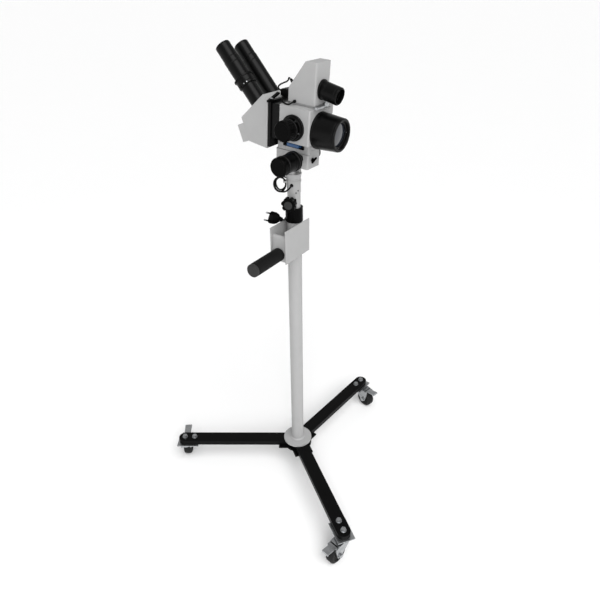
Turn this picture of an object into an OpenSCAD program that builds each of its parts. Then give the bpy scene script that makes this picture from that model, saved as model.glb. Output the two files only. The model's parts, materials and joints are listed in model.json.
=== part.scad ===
// Colposcope: binocular inspection microscope on a three legged stand with casters.
// The origin is on the floor under the column, +Z is up and the objective looks along -Y.

/* [Base] */
// Distance from the column axis to the swivel of a caster
swivel_reach = 375; // [300:1:450]
// Width of a leg
leg_w = 40; // [30:1:50]
// Height of a leg tube
leg_h = 16; // [12:1:25]
// Wall of a leg tube
leg_wall = 2; // [1:0.5:4]
// Diameter of the top disc of the hub
hub_d = 90; // [80:1:110]
// Thickness of the top disc
hub_t = 6; // [4:1:10]
// Thickness of the lower plate that carries the legs
lower_plate_t = 5; // [3:1:8]

/* [Casters] */
// Diameter of a wheel
wheel_d = 62; // [50:1:70]
// Width of a wheel tread
wheel_w = 24; // [18:1:30]
// Offset of the axle from the swivel
trail = 30; // [24:1:38]
// Height of a whole caster, from the floor to the underside of the leg
caster_h = 79; // [76:1:95]
// Thickness of the fork sheet
fork_t = 2.5; // [2:0.5:4]

/* [Column] */
// Outer diameter of the column
column_d = 38; // [36:0.5:44]
// Wall of the column
column_wall = 2; // [1.5:0.5:3]
// Height of the column top above the floor
column_top = 876; // [780:1:980]
// Outer diameter of the clamping collar
collar_d = 45; // [44:0.5:56]
// Height of the clamping collar
collar_h = 37.4; // [28:0.1:50]

/* [Bracket and handle] */
// Length of a side plate of the bracket
bracket_l = 108; // [90:1:130]
// Height of a side plate
bracket_h = 91; // [70:1:110]
// Outer width over the two side plates
bracket_w = 48.6; // [46:0.1:60]
// Sheet thickness of the bracket
bracket_t = 3; // [2:0.5:4]
// Diameter of the hand grip
grip_d = 33; // [28:0.5:38]
// Length of the hand grip with its cap
grip_l = 114; // [90:1:140]

/* [Neck] */
// Outer diameter of the sliding neck tube
neck_d = 33.4; // [28:0.1:33.4]
// Wall of the neck tube
neck_wall = 2; // [1.5:0.5:3]
// Length of the neck tube below its swivel
neck_l = 452; // [400:1:470]
// Upward travel of the neck in the column
neck_travel = 250; // [100:1:280]
// Height of the plain sleeve under the swivel
sleeve_h = 36; // [30:1:44]
// Length of the turning post from the swivel up to the tilt axis
post_l = 25; // [22:1:40]

/* [Focusing] */
// Width of the fixed focusing block
base_block_w = 53; // [50:1:64]
// Width of the sliding block
slide_block_w = 50; // [46:1:52]
// Height of the fixed block
base_block_h = 34; // [30:1:40]
// Height of the sliding block
slide_block_h = 28.7; // [24:0.1:36]
// Diameter of the large focusing knob
focus_knob_d = 46; // [40:1:52]
// Diameter of the small knob on the other end of the shaft
tension_knob_d = 30; // [24:1:36]

/* [Main body] */
// Width of the main body
body_w = 100; // [90:1:110]
// Height of the main body
body_h = 79.5; // [74:0.5:90]
// Depth of the main body
body_l = 83.3; // [78:0.1:95]
// Wall of the housings
case_wall = 4; // [3:0.5:6]
// Diameter of the objective barrel where it leaves the body
barrel_root_d = 84; // [74:1:90]
// Diameter of the objective barrel at its front
barrel_front_d = 75; // [68:1:80]
// Length of the objective barrel
barrel_l = 60; // [45:1:80]
// Diameter of the front bore of the objective
front_bore_d = 62; // [50:1:64]
// Diameter of the magnification knob
mag_knob_d = 47; // [40:1:52]
// Diameter of the flange behind the magnification knob
mag_flange_d = 59; // [54:1:62]

/* [Binocular head] */
// Width of the prism housing
prism_w = 102; // [92:1:110]
// Distance between the two eyepiece tubes
eye_spacing = 62; // [58:0.5:70]
// Outer diameter of an eyepiece
tube_d = 37.2; // [32:0.2:38]
// Length of an eyepiece tube
tube_l = 149; // [130:0.5:170]
// Sideways travel of each tube to suit the eyes
eye_travel = 5; // [2:0.5:6]

/* [Lamp] */
// Width of the lamp housing
lamp_w = 58; // [50:1:70]
// Height of the lamp housing
lamp_h = 93.8; // [80:0.2:110]
// Diameter of the lamp tube
lamp_tube_d = 39.6; // [34:0.2:44]
// Length of the lamp tube
lamp_tube_l = 46.5; // [36:0.5:60]

/* [Hidden] */

// Shared clearances and cuts
overrun = 1;
fit = 0.05;
gap = 0.3;
$fn = 48;
round_faces = 96;

// Paint and finish colours
white_paint = [0.82, 0.83, 0.82];
grey_paint = [0.70, 0.71, 0.71];
black_paint = [0.08, 0.08, 0.08];
black_plastic = [0.12, 0.12, 0.12];
cap_grey = [0.42, 0.42, 0.42];
zinc = [0.72, 0.73, 0.74];
tyre_grey = [0.25, 0.26, 0.26];
filter_blue = [0.16, 0.33, 0.60];
lens_tint = [0.55, 0.65, 0.75];

// Heights of the base
leg_bottom_z = caster_h;
leg_top_z = leg_bottom_z + leg_h;
hub_top_z = leg_top_z + hub_t;
leg_angles = [123.5, 234, 355];
caster_turns = [37, 170, 255];

// Hub
weld_bead = 4.5;
weld_toe = 0.5;
weld_collar_d = column_d + 2 * weld_bead;
weld_collar_h = 5;
weld_land_h = 2;
socket_wall = 4;
socket_gap = 1;
socket_d = column_d + 2 * socket_wall;
leg_start = socket_d / 2 + socket_gap;
arm_margin = 10;
arm_w = leg_w + 2 * arm_margin;
arm_overhang = 17;
arm_reach = hub_d / 2 + arm_overhang;
hub_bolt_inset = 12;
hub_bolt_pitch = 20;
hub_bolt_places = [arm_reach - hub_bolt_inset - hub_bolt_pitch, arm_reach - hub_bolt_inset];

// Bolts
bolt_d = 8;
bolt_head_af = 13;
bolt_head_h = 5.5;
washer_d = 17;
washer_t = 1.6;
bolt_clear = 0.2;
bolt_hole_d = bolt_d + 2 * bolt_clear;
outer_bolt_offset = 0;
inner_bolt_offset = 32;
leg_solid_l = 24;

// Caster
caster_plate_w = 52;
caster_plate_back = 46;
caster_plate_front = 24;
caster_plate_t = 3;
race_d = 44;
race_h = 5;
race_lip = 3;
king_pin_d = 10;
king_head_d = 17;
king_head_h = 3;
crown_t = 3;
wheel_side_gap = 2;
fork_inner_w = wheel_w + 2 * wheel_side_gap;
fork_outer_w = fork_inner_w + 2 * fork_t;
axle_d = 8;
axle_head_af = 13;
axle_head_h = 5;
axle_z = wheel_d / 2;
race_bottom_z = caster_h - caster_plate_t - race_h;
crown_top_z = race_bottom_z - gap;
crown_bottom_z = crown_top_z - crown_t;
cheek_nose = 9;
cheek_side = 4;
cheek_back = 17;
cheek_drop = 7;
cheek_heel = 12;
tyre_round = 4;
rim_share = 0.62;
rim_d = wheel_d * rim_share;
rim_recess = 3;
hub_boss_d = 18;
pedal_pin_d = 5;
pedal_barrel_d = 8;
pedal_behind = 11;
pedal_pin_drop = 1;
pedal_side_gap = 1.5;
pedal_x = trail + pedal_behind;
pedal_z = crown_bottom_z - pedal_pin_drop;
pedal_w = fork_inner_w - 2 * pedal_side_gap;
plate_inset = 1.5;
pedal_t = 2.5;
pedal_sink = 0.6;
pedal_l = 36;
pedal_top = pedal_barrel_d / 2 - pedal_sink;
pedal_lip = 6;
pedal_rise = 10;

// Column and clamp
column_r = column_d / 2;
column_bore_r = column_r - column_wall;
collar_seat = 8.4;
collar_bottom_z = column_top - collar_seat;
collar_top_z = collar_bottom_z + collar_h;
bracket_top_z = collar_bottom_z - 2 * gap;
collar_r = collar_d / 2;
neck_r = neck_d / 2;
clamp_turn = 196;
lug_h = 33;
lug_half_angle = 34;
boss_d = 20;
boss_reach = 27;
stud_d = 8;
knob_rise = 19;
knob_z = collar_top_z + knob_rise;
knob_d = 34;
knob_lobe_d = 9;
knob_lobes = 6;
knob_core_d = 27;
knob_gap = 0.6;
knob_back = boss_reach + knob_gap;
knob_t = 13;
knob_hub_d = 18;
knob_hub_t = 4;
knob_cap_d = 21;
knob_cap_t = 1.5;

// Bracket
bracket_back = 34;
bracket_front = bracket_l - bracket_back;
bracket_bottom_z = bracket_top_z - bracket_h;
bracket_gap = bracket_w - 2 * bracket_t;
saddle_h = 44;
saddle_l = 48;
saddle_rise = 6;
saddle_z = bracket_bottom_z + saddle_rise;
web_inset = 6;
web_top_drop = 19;
web_bottom_rise = 2;
web_roll_r = 7;
handle_rise = 23;
handle_z = bracket_bottom_z + handle_rise;
bar_d = 16;
bar_short = 20;
bar_l = grip_l - bar_short;
grip_cap_t = 10;
grip_cap_inset = 0.6;
grip_round = 3;

// Neck
neck_show = 76;
swivel_z = collar_top_z + neck_show;
neck_bottom_z = swivel_z - neck_l;
sleeve_wall = 0.9;
sleeve_r = neck_r + sleeve_wall;
sleeve_top_z = swivel_z - gap;
sleeve_bottom_z = sleeve_top_z - sleeve_h;
cord_d = 4;
cord_turn = 198;
cord_exit_drop = 15;
cord_exit_z = swivel_z - cord_exit_drop;
grommet_d = 7;
grommet_flange_d = 8.6;
grommet_flange_t = 1;

// Swivel post and tilt
post_r = sleeve_r;
post_top_r = 20;
tilt_z = swivel_z + post_l;
cheek_r = 11;
tongue_w = 15;
tongue_gap = gap;
shoulder_drop = 2;
post_shoulder_z = tilt_z - cheek_r - shoulder_drop;
fork_cheek_t = 9;
tilt_pin_d = 8;
tilt_pin_head_d = 13;
tilt_pin_head_h = 3;
pivot_spigot_d = 20;
pivot_spigot_l = 26;

// Head frame: its origin is over the column, tipped down at the front
head_pitch = 4.2;
block_drop = 45;
head_z = tilt_z + block_drop;
seam_z = 3;
base_top = seam_z;
base_bottom = seam_z - base_block_h;
base_front = 60;
base_back = 32;
rail_back = 16;
tongue_r = cheek_r;
slide_bottom = seam_z + gap;
slide_top = slide_bottom + slide_block_h;
slide_front = 60;
slide_back = 30;
dovetail_w = 34;
dovetail_neck_w = 26;
dovetail_h = 8;
focus_axis_y = 38;
focus_axis_z = -7;
shaft_d = 8;
focus_boss_d = 19;
focus_boss_l = 21.5;
focus_ring_l = 12.5;
focus_mid_l = 33;
focus_end_l = 21;
focus_mid_step = 1.5;
focus_end_step = 0.5;
focus_mid_d = focus_knob_d - 2 * focus_mid_step;
focus_end_d = focus_knob_d - 2 * focus_end_step;
focus_step = 1.2;
tension_boss_l = 3;
tension_l = 13;
lock_x = -8;
lock_drop = 13;
lock_turn = 25;
lock_z = base_top - lock_drop;
lock_boss_d = 9;
lock_boss_l = 6;
lock_bar_d = 5;
lock_bar_l = 18;
lock_stem_d = 5;
lock_stem_l = 16;

// Filter slot on the near side of the sliding block
slot_front = 47;
slot_back = -11;
slot_rise = 10.5;
slot_z = slide_bottom + slot_rise;
slot_h = 12.5;
slot_frame_t = 3;
slot_depth = 30;
filter_tab = 6;
filter_front = 41;
filter_back = -7;

// Main body
body_bottom = slide_top;
body_top = body_bottom + body_h;
body_front = 73.3;
body_back = body_l - body_front;
body_corner = 4;
optic_rise = 29;
optic_offset = 5;
optic_z = body_bottom + optic_rise;
barrel_seat_l = case_wall;
barrel_seat_margin = 2;
barrel_seat_d = 2 * (optic_rise - case_wall - barrel_seat_margin);
barrel_seat_wall = 3;
barrel_floor_t = 4;
barrel_lip = 2;
front_bore_l = 9;
lens_step = 2;
lens_recess = 1;
front_groove = 1.2;
front_groove_w = 3;
bore_ledge = 5;
barrel_bore_d = front_bore_d - 2 * bore_ledge;
lens_t = 7;
lens_seat_d = front_bore_d - 2 * lens_step;
lens_flat_share = 0.7;
lens_shares = [0.6, 2.4];
clamp_screw_d = 7;
clamp_screw_h = 5;
clamp_screw_turn = -40;
mag_y = 31;
mag_rise = 35;
mag_z = body_bottom + mag_rise;
mag_flange_t = 5;
mag_rim = 4;
mag_step_d = mag_flange_d - 2 * mag_rim;
mag_step_t = 4;
mag_knob_l = 34;
mag_knob_flutes = 28;
flute_d = 2;
mag_shaft_d = 10;
rear_port_d = 52;

// Interface block and prism housing
spacer_l = 23;
spacer_inset = 4;
spacer_drop = 2;
spacer_w = body_w - 2 * spacer_inset;
spacer_h = body_h - spacer_drop;
plate_l = 8;
plate_side_inset = 1.5;
plate_hang = 23;
plate_rise = 3;
plate_w = prism_w - 2 * plate_side_inset;
plate_bottom = body_bottom - plate_hang;
plate_top = body_top + plate_rise;
joint_y = body_back + spacer_l + plate_l;
prism_hang = 27;
prism_bottom = body_bottom - prism_hang;
prism_front_top = plate_top;
ridge_back = 15;
ridge_rise = 10;
slant_l = 62;
heel_in = 22;
heel_rise = 6;
prism_wall = 3;
miter_share = 1.3;
cover_t = 13;
cover_w = 84;
cover_margin = 9;
cover_drop = 14;

// Eyepiece tubes, square to the slanted face
tube_lean = 45;
tube_r = tube_d / 2;
sleeve_step = 0.8;
barrel_tube_r = tube_r + sleeve_step;
lower_tube_step = 0.6;
lower_tube_r = barrel_tube_r - lower_tube_step;
slant_mid = 35;
tube_spigot_d = 22;
tube_spigot_l = 5;
diopter_start = 45;
diopter_out = 5;
diopter_l = 18;
diopter_wall = 2.6;
diopter_flange_wall = 5;
diopter_r = barrel_tube_r + diopter_wall;
diopter_flange_r = barrel_tube_r + diopter_flange_wall;
diopter_flange_t = 4;
diopter_flutes = 36;
eye_bore_d = 27;
eye_bore_l = 12;
eye_round = 2.5;
eye_groove_back = 38;
eye_groove = 0.5;

// Lamp housing
lamp_front = 70.4;
lamp_back = 2.2;
lamp_top_l = 29.4;
lamp_back_h = 32.5;
lamp_wall = 3;
lamp_corner = 4;
lamp_foot_h = 5;
lamp_foot_inset = 4;
lamp_tilt = 10;
lamp_flange_d = 44;
lamp_flange_t = 4;
lamp_axis_rise = 37;
lamp_axis_z = body_top + lamp_axis_rise;
lamp_bore_d = 33;
lamp_bore_l = 34;
lamp_lens_depth = 11;
connector_l = 29;
connector_w = 24;
connector_h = 19;
connector_x = -6;
connector_rise = 7.5;
connector_step = 6;
connector_end_inset = 2;
relief_d = 8;
relief_tip_d = 5;
relief_l = 9;
relief_x = -24;
relief_up = 17;
lead_d = 3.5;
side_plug_y = -19;
side_plug_rise = 8;
side_plug_l = 5;
side_plug_d = 7;

// Lock of the binocular head, on top of the interface plate
lock_arm_y = 34;
lock_pivot_x = -46;
lock_screw_d = 9;
lock_arm_w = 7;
lock_arm_t = 4;
lock_arm_near = 14;
lock_arm_far = 28;
lock_arm_lean = 18;

// Filter lever in front of the body
lever_lug_w = 16;
lever_lug_l = 12;
lever_lug_t = 3;
lever_x = 8;
lever_y = 77;
lever_rise = 1;
lever_z = body_top + lever_rise;
lug_z = lever_z - gap - lever_lug_t;
lever_boss_d = 12;
lever_t = 4;
lever_boss_h = 8;
lever_tip_d = 10;
lever_tip_h = 5;
lever_arm_w = 9;
lever_arm_l = 40;
lever_pin_d = 5;
lever_knob_d = 8;
lever_knob_h = 11;

// Cord, hank and plug
cord_r = cord_d / 2;
cord_faces = 8;
hank_turn = 125;
hank_turns = 2.5;
hank_x = 33.5;
hank_y = 4;
hank_a = 13.5;
hank_b = 17.5;
hank_pitch = 4.8;
hank_faces = 6;
hank_steps = 24;
tie_rise = 6;
tie_h = 4;
tie_t = 1.2;
tie_slack = 0.8;
plug_face = [59.3, 34.2, -75.4];
plug_turn = 39;
plug_tilt = 24;
plug_r = 16;
plug_front_l = 12;
plug_l = 38;
plug_end_r = 8;
pin_d = 4;
pin_l = 19;
pin_spacing = 19;

// Shared shapes
module ring_tube(outer_r, inner_r, h) {
    difference() {
        cylinder(h = h, r = outer_r, $fn = round_faces);
        translate([0, 0, -overrun]) cylinder(h = h + 2 * overrun, r = inner_r, $fn = round_faces);
    }
}

module round_box(w, l, h, r) {
    linear_extrude(height = h) rounded_outline(w, l, r);
}

module rounded_outline(w, l, r) {
    square([w - 2 * r, l], center = true);
    square([w, l - 2 * r], center = true);
    for (x = [-1, 1], y = [-1, 1])
        translate([x * (w / 2 - r), y * (l / 2 - r)]) circle(r = r);
}

module on_leg(i) {
    rotate([0, 0, leg_angles[i]]) children();
}

module at_caster(i) {
    on_leg(i)
        translate([swivel_reach, 0, 0])
            rotate([0, 0, caster_turns[i] - leg_angles[i]])
                children();
}

module in_head() {
    translate([0, 0, head_z]) rotate([head_pitch, 0, 0]) children();
}

// Extrudes an outline drawn as [backward, up] across the head, centred on its middle plane
module across_head(w) {
    translate([-w / 2, 0, 0])
        rotate([90, 0, 90])
            linear_extrude(height = w)
                children();
}

// Base
module hub_disc() {
    color(white_paint)
        difference() {
            union() {
                translate([0, 0, leg_top_z]) cylinder(h = hub_t, d = hub_d, $fn = round_faces);
                translate([0, 0, hub_top_z]) cylinder(h = weld_land_h, d = weld_collar_d, $fn = round_faces);
                translate([0, 0, hub_top_z + weld_land_h])
                    cylinder(h = weld_collar_h - weld_land_h, d1 = weld_collar_d,
                        d2 = column_d + 2 * weld_toe,
                        $fn = round_faces);
            }
            translate([0, 0, leg_top_z - overrun])
                cylinder(h = hub_t + weld_collar_h + 2 * overrun, r = column_r, $fn = round_faces);
        }
}

module hub_bolt_shafts(d, z, h) {
    for (i = [0:2], r = hub_bolt_places)
        on_leg(i) translate([r, 0, z]) cylinder(h = h, d = d);
}

module hub_lower_plate() {
    color(black_paint)
        difference() {
            union() {
                translate([0, 0, leg_bottom_z - lower_plate_t])
                    linear_extrude(height = lower_plate_t) {
                        circle(d = hub_d, $fn = round_faces);
                        for (i = [0:2])
                            rotate([0, 0, leg_angles[i]])
                                translate([0, -arm_w / 2]) square([arm_reach, arm_w]);
                    }
                translate([0, 0, leg_bottom_z]) cylinder(h = leg_h, d = socket_d, $fn = round_faces);
            }
            translate([0, 0, leg_bottom_z]) cylinder(h = leg_h + overrun, r = column_r, $fn = round_faces);
            hub_bolt_shafts(bolt_hole_d, leg_bottom_z - lower_plate_t - overrun, lower_plate_t + 2 * overrun);
        }
}

module leg() {
    color(black_paint)
        translate([0, 0, leg_bottom_z])
            difference() {
                union() {
                    translate([leg_start, -leg_w / 2, 0]) cube([swivel_reach - leg_start, leg_w, leg_h]);
                    translate([swivel_reach, 0, 0]) cylinder(h = leg_h, d = leg_w, $fn = round_faces);
                }
                translate([leg_start - overrun, -leg_w / 2 + leg_wall, leg_wall])
                    cube([
                        swivel_reach - leg_solid_l + overrun - leg_start,
                        leg_w - 2 * leg_wall,
                        leg_h - 2 * leg_wall
                    ]);
                for (x = [outer_bolt_offset, inner_bolt_offset])
                    translate([swivel_reach - x, 0, -overrun])
                        cylinder(h = leg_h + 2 * overrun, d = bolt_hole_d);
                for (x = hub_bolt_places)
                    translate([x, 0, -overrun]) cylinder(h = leg_h / 2, d = bolt_hole_d);
            }
}

module leg_left() {
    on_leg(0) leg();
}

module leg_front() {
    on_leg(1) leg();
}

module leg_rear() {
    on_leg(2) leg();
}

module caster_plate() {
    difference() {
        union() {
            translate([-caster_plate_back, -caster_plate_w / 2, caster_h - caster_plate_t])
                cube([caster_plate_back + caster_plate_front, caster_plate_w, caster_plate_t]);
            translate([0, 0, race_bottom_z + race_lip])
                cylinder(h = race_h - race_lip, d = race_d, $fn = round_faces);
            translate([0, 0, race_bottom_z]) cylinder(h = race_lip, d = race_d - race_lip, $fn = round_faces);
            translate([0, 0, crown_bottom_z - gap - king_head_h])
                cylinder(h = caster_h - crown_bottom_z + gap + king_head_h - caster_plate_t,
                    d = king_pin_d);
            translate([0, 0, crown_bottom_z - gap - king_head_h])
                cylinder(h = king_head_h, d = king_head_d);
        }
        translate([-inner_bolt_offset, 0, caster_h - caster_plate_t - overrun])
            cylinder(h = caster_plate_t + 2 * overrun, d = bolt_hole_d);
        translate([0, 0, race_bottom_z + race_lip])
            cylinder(h = race_h + overrun, d = bolt_hole_d);
    }
}

module caster_plates() {
    color(zinc)
        for (i = [0:2])
            on_leg(i) translate([swivel_reach, 0, 0]) caster_plate();
}

module hex_bolt(head_z, tip_z) {
    translate([0, 0, head_z]) cylinder(h = washer_t, d = washer_d);
    translate([0, 0, head_z + washer_t]) cylinder(h = bolt_head_h, d = bolt_head_af / cos(30), $fn = 6);
    translate([0, 0, tip_z]) cylinder(h = head_z - tip_z + overrun, d = bolt_d);
}

module base_bolts() {
    color(zinc) {
        for (i = [0:2])
            on_leg(i) {
                translate([swivel_reach - outer_bolt_offset, 0, 0])
                    hex_bolt(leg_top_z, race_bottom_z + race_lip);
                translate([swivel_reach - inner_bolt_offset, 0, 0])
                    hex_bolt(leg_top_z, caster_h - caster_plate_t);
                for (r = hub_bolt_places)
                    translate([r, 0, leg_bottom_z - lower_plate_t])
                        mirror([0, 0, 1])
                            hex_bolt(0, -lower_plate_t - leg_wall - bolt_head_h);
            }
    }
}

// Caster, drawn with its swivel at the origin and its wheel trailing along +X
module fork_cheek_outline() {
    polygon([
        [-race_d / 2 + cheek_drop, crown_bottom_z + crown_t / 2],
        [-race_d / 2 + cheek_drop, crown_bottom_z - cheek_drop],
        [trail - cheek_nose, axle_z - cheek_side],
        [trail - cheek_side, axle_z - cheek_nose],
        [trail + cheek_side, axle_z - cheek_nose],
        [trail + cheek_nose, axle_z - cheek_side],
        [trail + cheek_back, crown_bottom_z - cheek_heel],
        [trail + cheek_back, crown_bottom_z + crown_t / 2]
    ]);
}

module fork() {
    color(zinc) {
        axle();
        difference() {
            union() {
                translate([0, 0, crown_bottom_z]) cylinder(h = crown_t, d = race_d, $fn = round_faces);
                translate([0, -fork_outer_w / 2, crown_bottom_z])
                    cube([trail + cheek_back - cheek_heel, fork_outer_w, crown_t]);
                for (y = [-fork_outer_w / 2, fork_inner_w / 2])
                    translate([0, y + fork_t, 0])
                        rotate([90, 0, 0])
                            linear_extrude(height = fork_t)
                                fork_cheek_outline();
            }
            translate([0, 0, crown_bottom_z - overrun])
                cylinder(h = crown_t + 2 * overrun, d = king_pin_d + 2 * fit);
            translate([pedal_x, fork_outer_w / 2 + overrun, pedal_z])
                rotate([90, 0, 0])
                    cylinder(h = fork_outer_w + 2 * overrun, d = pedal_pin_d + 2 * fit);
        }
    }
}

module wheel() {
    wheel_r = wheel_d / 2;
    half_w = wheel_w / 2;
    boss_half = half_w + wheel_side_gap - gap;
    color(tyre_grey)
        translate([trail, 0, axle_z])
            rotate([90, 0, 0])
                rotate_extrude($fn = round_faces)
                    polygon([
                        [axle_d / 2 + fit, -boss_half],
                        [hub_boss_d / 2, -boss_half],
                        [hub_boss_d / 2, -half_w + rim_recess],
                        [rim_d / 2, -half_w + rim_recess],
                        [rim_d / 2 + rim_recess / 2, -half_w],
                        [wheel_r - tyre_round, -half_w],
                        [wheel_r - tyre_round / 4, -half_w + tyre_round / 2],
                        [wheel_r, -half_w + tyre_round * 1.5],
                        [wheel_r, half_w - tyre_round * 1.5],
                        [wheel_r - tyre_round / 4, half_w - tyre_round / 2],
                        [wheel_r - tyre_round, half_w],
                        [rim_d / 2 + rim_recess / 2, half_w],
                        [rim_d / 2, half_w - rim_recess],
                        [hub_boss_d / 2, half_w - rim_recess],
                        [hub_boss_d / 2, boss_half],
                        [axle_d / 2 + fit, boss_half]
                    ]);
}

module axle() {
    translate([trail, 0, axle_z])
        rotate([90, 0, 0]) {
            translate([0, 0, -fork_outer_w / 2]) cylinder(h = fork_outer_w, d = axle_d);
            for (z = [-fork_outer_w / 2 - axle_head_h, fork_outer_w / 2])
                translate([0, 0, z]) cylinder(h = axle_head_h, d = axle_head_af / cos(30), $fn = 6);
        }
}

module brake() {
    color(zinc)
        translate([pedal_x, 0, pedal_z]) {
            rotate([90, 0, 0]) {
                translate([0, 0, -fork_outer_w / 2]) cylinder(h = fork_outer_w, d = pedal_pin_d);
                translate([0, 0, -pedal_w / 2]) cylinder(h = pedal_w, d = pedal_barrel_d);
            }
            rotate([0, -pedal_rise, 0]) {
                translate([0, plate_inset - pedal_w / 2, pedal_top - pedal_t])
                    cube([pedal_l, pedal_w - 2 * plate_inset, pedal_t]);
                translate([pedal_l - pedal_t, plate_inset - pedal_w / 2, pedal_top - pedal_lip])
                    cube([pedal_t, pedal_w - 2 * plate_inset, pedal_lip]);
            }
        }
}

module fork_left() {
    at_caster(0) fork();
}

module fork_front() {
    at_caster(1) fork();
}

module fork_rear() {
    at_caster(2) fork();
}

module wheel_left() {
    at_caster(0) wheel();
}

module wheel_front() {
    at_caster(1) wheel();
}

module wheel_rear() {
    at_caster(2) wheel();
}

module brake_left() {
    at_caster(0) brake();
}

module brake_front() {
    at_caster(1) brake();
}

module brake_rear() {
    at_caster(2) brake();
}

// Column, clamp, bracket and handle
module column_tube() {
    color(white_paint)
        translate([0, 0, leg_bottom_z])
            ring_tube(column_r, column_bore_r, column_top - leg_bottom_z);
}

module clamp_collar() {
    color(black_plastic)
        difference() {
            union() {
                translate([0, 0, collar_bottom_z]) cylinder(h = collar_h, r = collar_r, $fn = round_faces);
                intersection() {
                    translate([0, 0, collar_bottom_z])
                        cylinder(h = collar_h + lug_h, r = collar_r, $fn = round_faces);
                    rotate([0, 0, clamp_turn])
                        translate([0, 0, collar_bottom_z])
                            linear_extrude(height = collar_h + lug_h)
                                polygon([
                                    [0, 0],
                                    [collar_d, -collar_d * tan(lug_half_angle)],
                                    [collar_d, collar_d * tan(lug_half_angle)]
                                ]);
                }
                rotate([0, 0, clamp_turn])
                    translate([neck_r, 0, knob_z])
                        rotate([0, 90, 0]) cylinder(h = boss_reach - neck_r, d = boss_d);
            }
            translate([0, 0, collar_bottom_z - overrun])
                cylinder(h = column_top - collar_bottom_z + overrun, r = column_r, $fn = round_faces);
            translate([0, 0, collar_bottom_z])
                cylinder(h = collar_h + lug_h + overrun, r = neck_r + fit, $fn = round_faces);
            rotate([0, 0, clamp_turn])
                translate([0, 0, knob_z])
                    rotate([0, 90, 0]) cylinder(h = boss_reach + overrun, d = stud_d + 2 * fit);
        }
}

module at_clamp() {
    rotate([0, 0, clamp_turn]) translate([0, 0, knob_z]) rotate([0, 90, 0]) children();
}

module clamp_knob() {
    color(black_plastic)
        at_clamp()
            difference() {
                union() {
                    translate([0, 0, knob_back]) cylinder(h = knob_hub_t, d = knob_hub_d);
                    translate([0, 0, knob_back + knob_hub_t])
                        linear_extrude(height = knob_t) {
                            circle(d = knob_core_d);
                            for (i = [0:knob_lobes - 1])
                                rotate([0, 0, i * 360 / knob_lobes])
                                    translate([knob_d / 2 - knob_lobe_d / 2, 0])
                                        circle(d = knob_lobe_d);
                        }
                    translate([0, 0, knob_back + knob_hub_t + knob_t])
                        cylinder(h = knob_cap_t, d = knob_cap_d);
                }
                translate([0, 0, knob_back - overrun])
                    cylinder(h = knob_hub_t + knob_t / 2 + overrun, d = stud_d);
            }
}

module clamp_stud() {
    color(zinc)
        at_clamp()
            translate([0, 0, neck_r + gap])
                cylinder(h = knob_back + knob_hub_t + knob_t / 2 - neck_r - gap, d = stud_d);
}

module bracket_plates() {
    color(grey_paint)
        for (y = [-bracket_w / 2, bracket_w / 2 - bracket_t])
            translate([-bracket_front, y, bracket_bottom_z]) cube([bracket_l, bracket_t, bracket_h]);
}

module web_outline() {
    web_h = bracket_h - web_top_drop - web_bottom_rise;
    difference() {
        union() {
            square([bracket_t, web_h - web_roll_r]);
            translate([web_roll_r, web_h - web_roll_r]) circle(r = web_roll_r);
        }
        translate([web_roll_r, web_h - web_roll_r]) circle(r = web_roll_r - bracket_t);
        translate([bracket_t, 0]) square([2 * web_roll_r, web_h - web_roll_r]);
    }
}

module bracket_web() {
    web_x = -bracket_front + web_inset;
    color(grey_paint) {
        translate([web_x, bracket_gap / 2, bracket_bottom_z + web_bottom_rise])
            rotate([90, 0, 0])
                linear_extrude(height = bracket_gap)
                    web_outline();
        translate([web_x - bar_l, 0, handle_z])
            rotate([0, 90, 0]) cylinder(h = bar_l + bracket_t / 2, d = bar_d);
        difference() {
            translate([-saddle_l / 2, -bracket_gap / 2, saddle_z]) cube([saddle_l, bracket_gap, saddle_h]);
            translate([0, 0, saddle_z - overrun])
                cylinder(h = saddle_h + 2 * overrun, r = column_r, $fn = round_faces);
        }
    }
}

module handle_grip() {
    grip_r = grip_d / 2;
    color(black_plastic)
        translate([-bracket_front + web_inset, 0, handle_z])
            rotate([0, -90, 0])
                rotate_extrude($fn = round_faces)
                    polygon([
                        [bar_d / 2, 0],
                        [grip_r - grip_round, 0],
                        [grip_r - grip_round / 3, grip_round / 3],
                        [grip_r, grip_round],
                        [grip_r, grip_l - grip_cap_t],
                        [bar_d / 2, grip_l - grip_cap_t]
                    ]);
}

module handle_cap() {
    cap_r = grip_d / 2 - grip_cap_inset;
    color(cap_grey)
        translate([-bracket_front + web_inset, 0, handle_z])
            rotate([0, -90, 0])
                rotate_extrude($fn = round_faces)
                    polygon([
                        [0, grip_l - grip_cap_t],
                        [cap_r, grip_l - grip_cap_t],
                        [cap_r, grip_l - grip_round / 2],
                        [cap_r - grip_round, grip_l],
                        [0, grip_l]
                    ]);
}

// Neck, swivel post and tilt
module at_cord_exit() {
    translate([0, 0, cord_exit_z]) rotate([0, 0, cord_turn]) rotate([0, 90, 0]) children();
}

module neck_tube() {
    color(white_paint)
        difference() {
            translate([0, 0, neck_bottom_z])
                ring_tube(neck_r, neck_r - neck_wall, sleeve_top_z - neck_bottom_z);
            at_cord_exit() cylinder(h = neck_d, d = grommet_d);
        }
}

module neck_sleeve() {
    color(white_paint)
        difference() {
            translate([0, 0, sleeve_bottom_z]) ring_tube(sleeve_r, neck_r, sleeve_h);
            at_cord_exit() cylinder(h = neck_d, d = grommet_d);
        }
}

module cord_grommet() {
    color(black_plastic)
        at_cord_exit()
            difference() {
                union() {
                    translate([0, 0, neck_r - neck_wall])
                        cylinder(h = neck_wall + sleeve_r - neck_r, d = grommet_d);
                    translate([0, 0, sleeve_r])
                        cylinder(h = grommet_flange_t, d = grommet_flange_d);
                }
                translate([0, 0, neck_r - neck_wall - overrun])
                    cylinder(h = neck_wall + sleeve_r, d = cord_d);
            }
}

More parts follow.
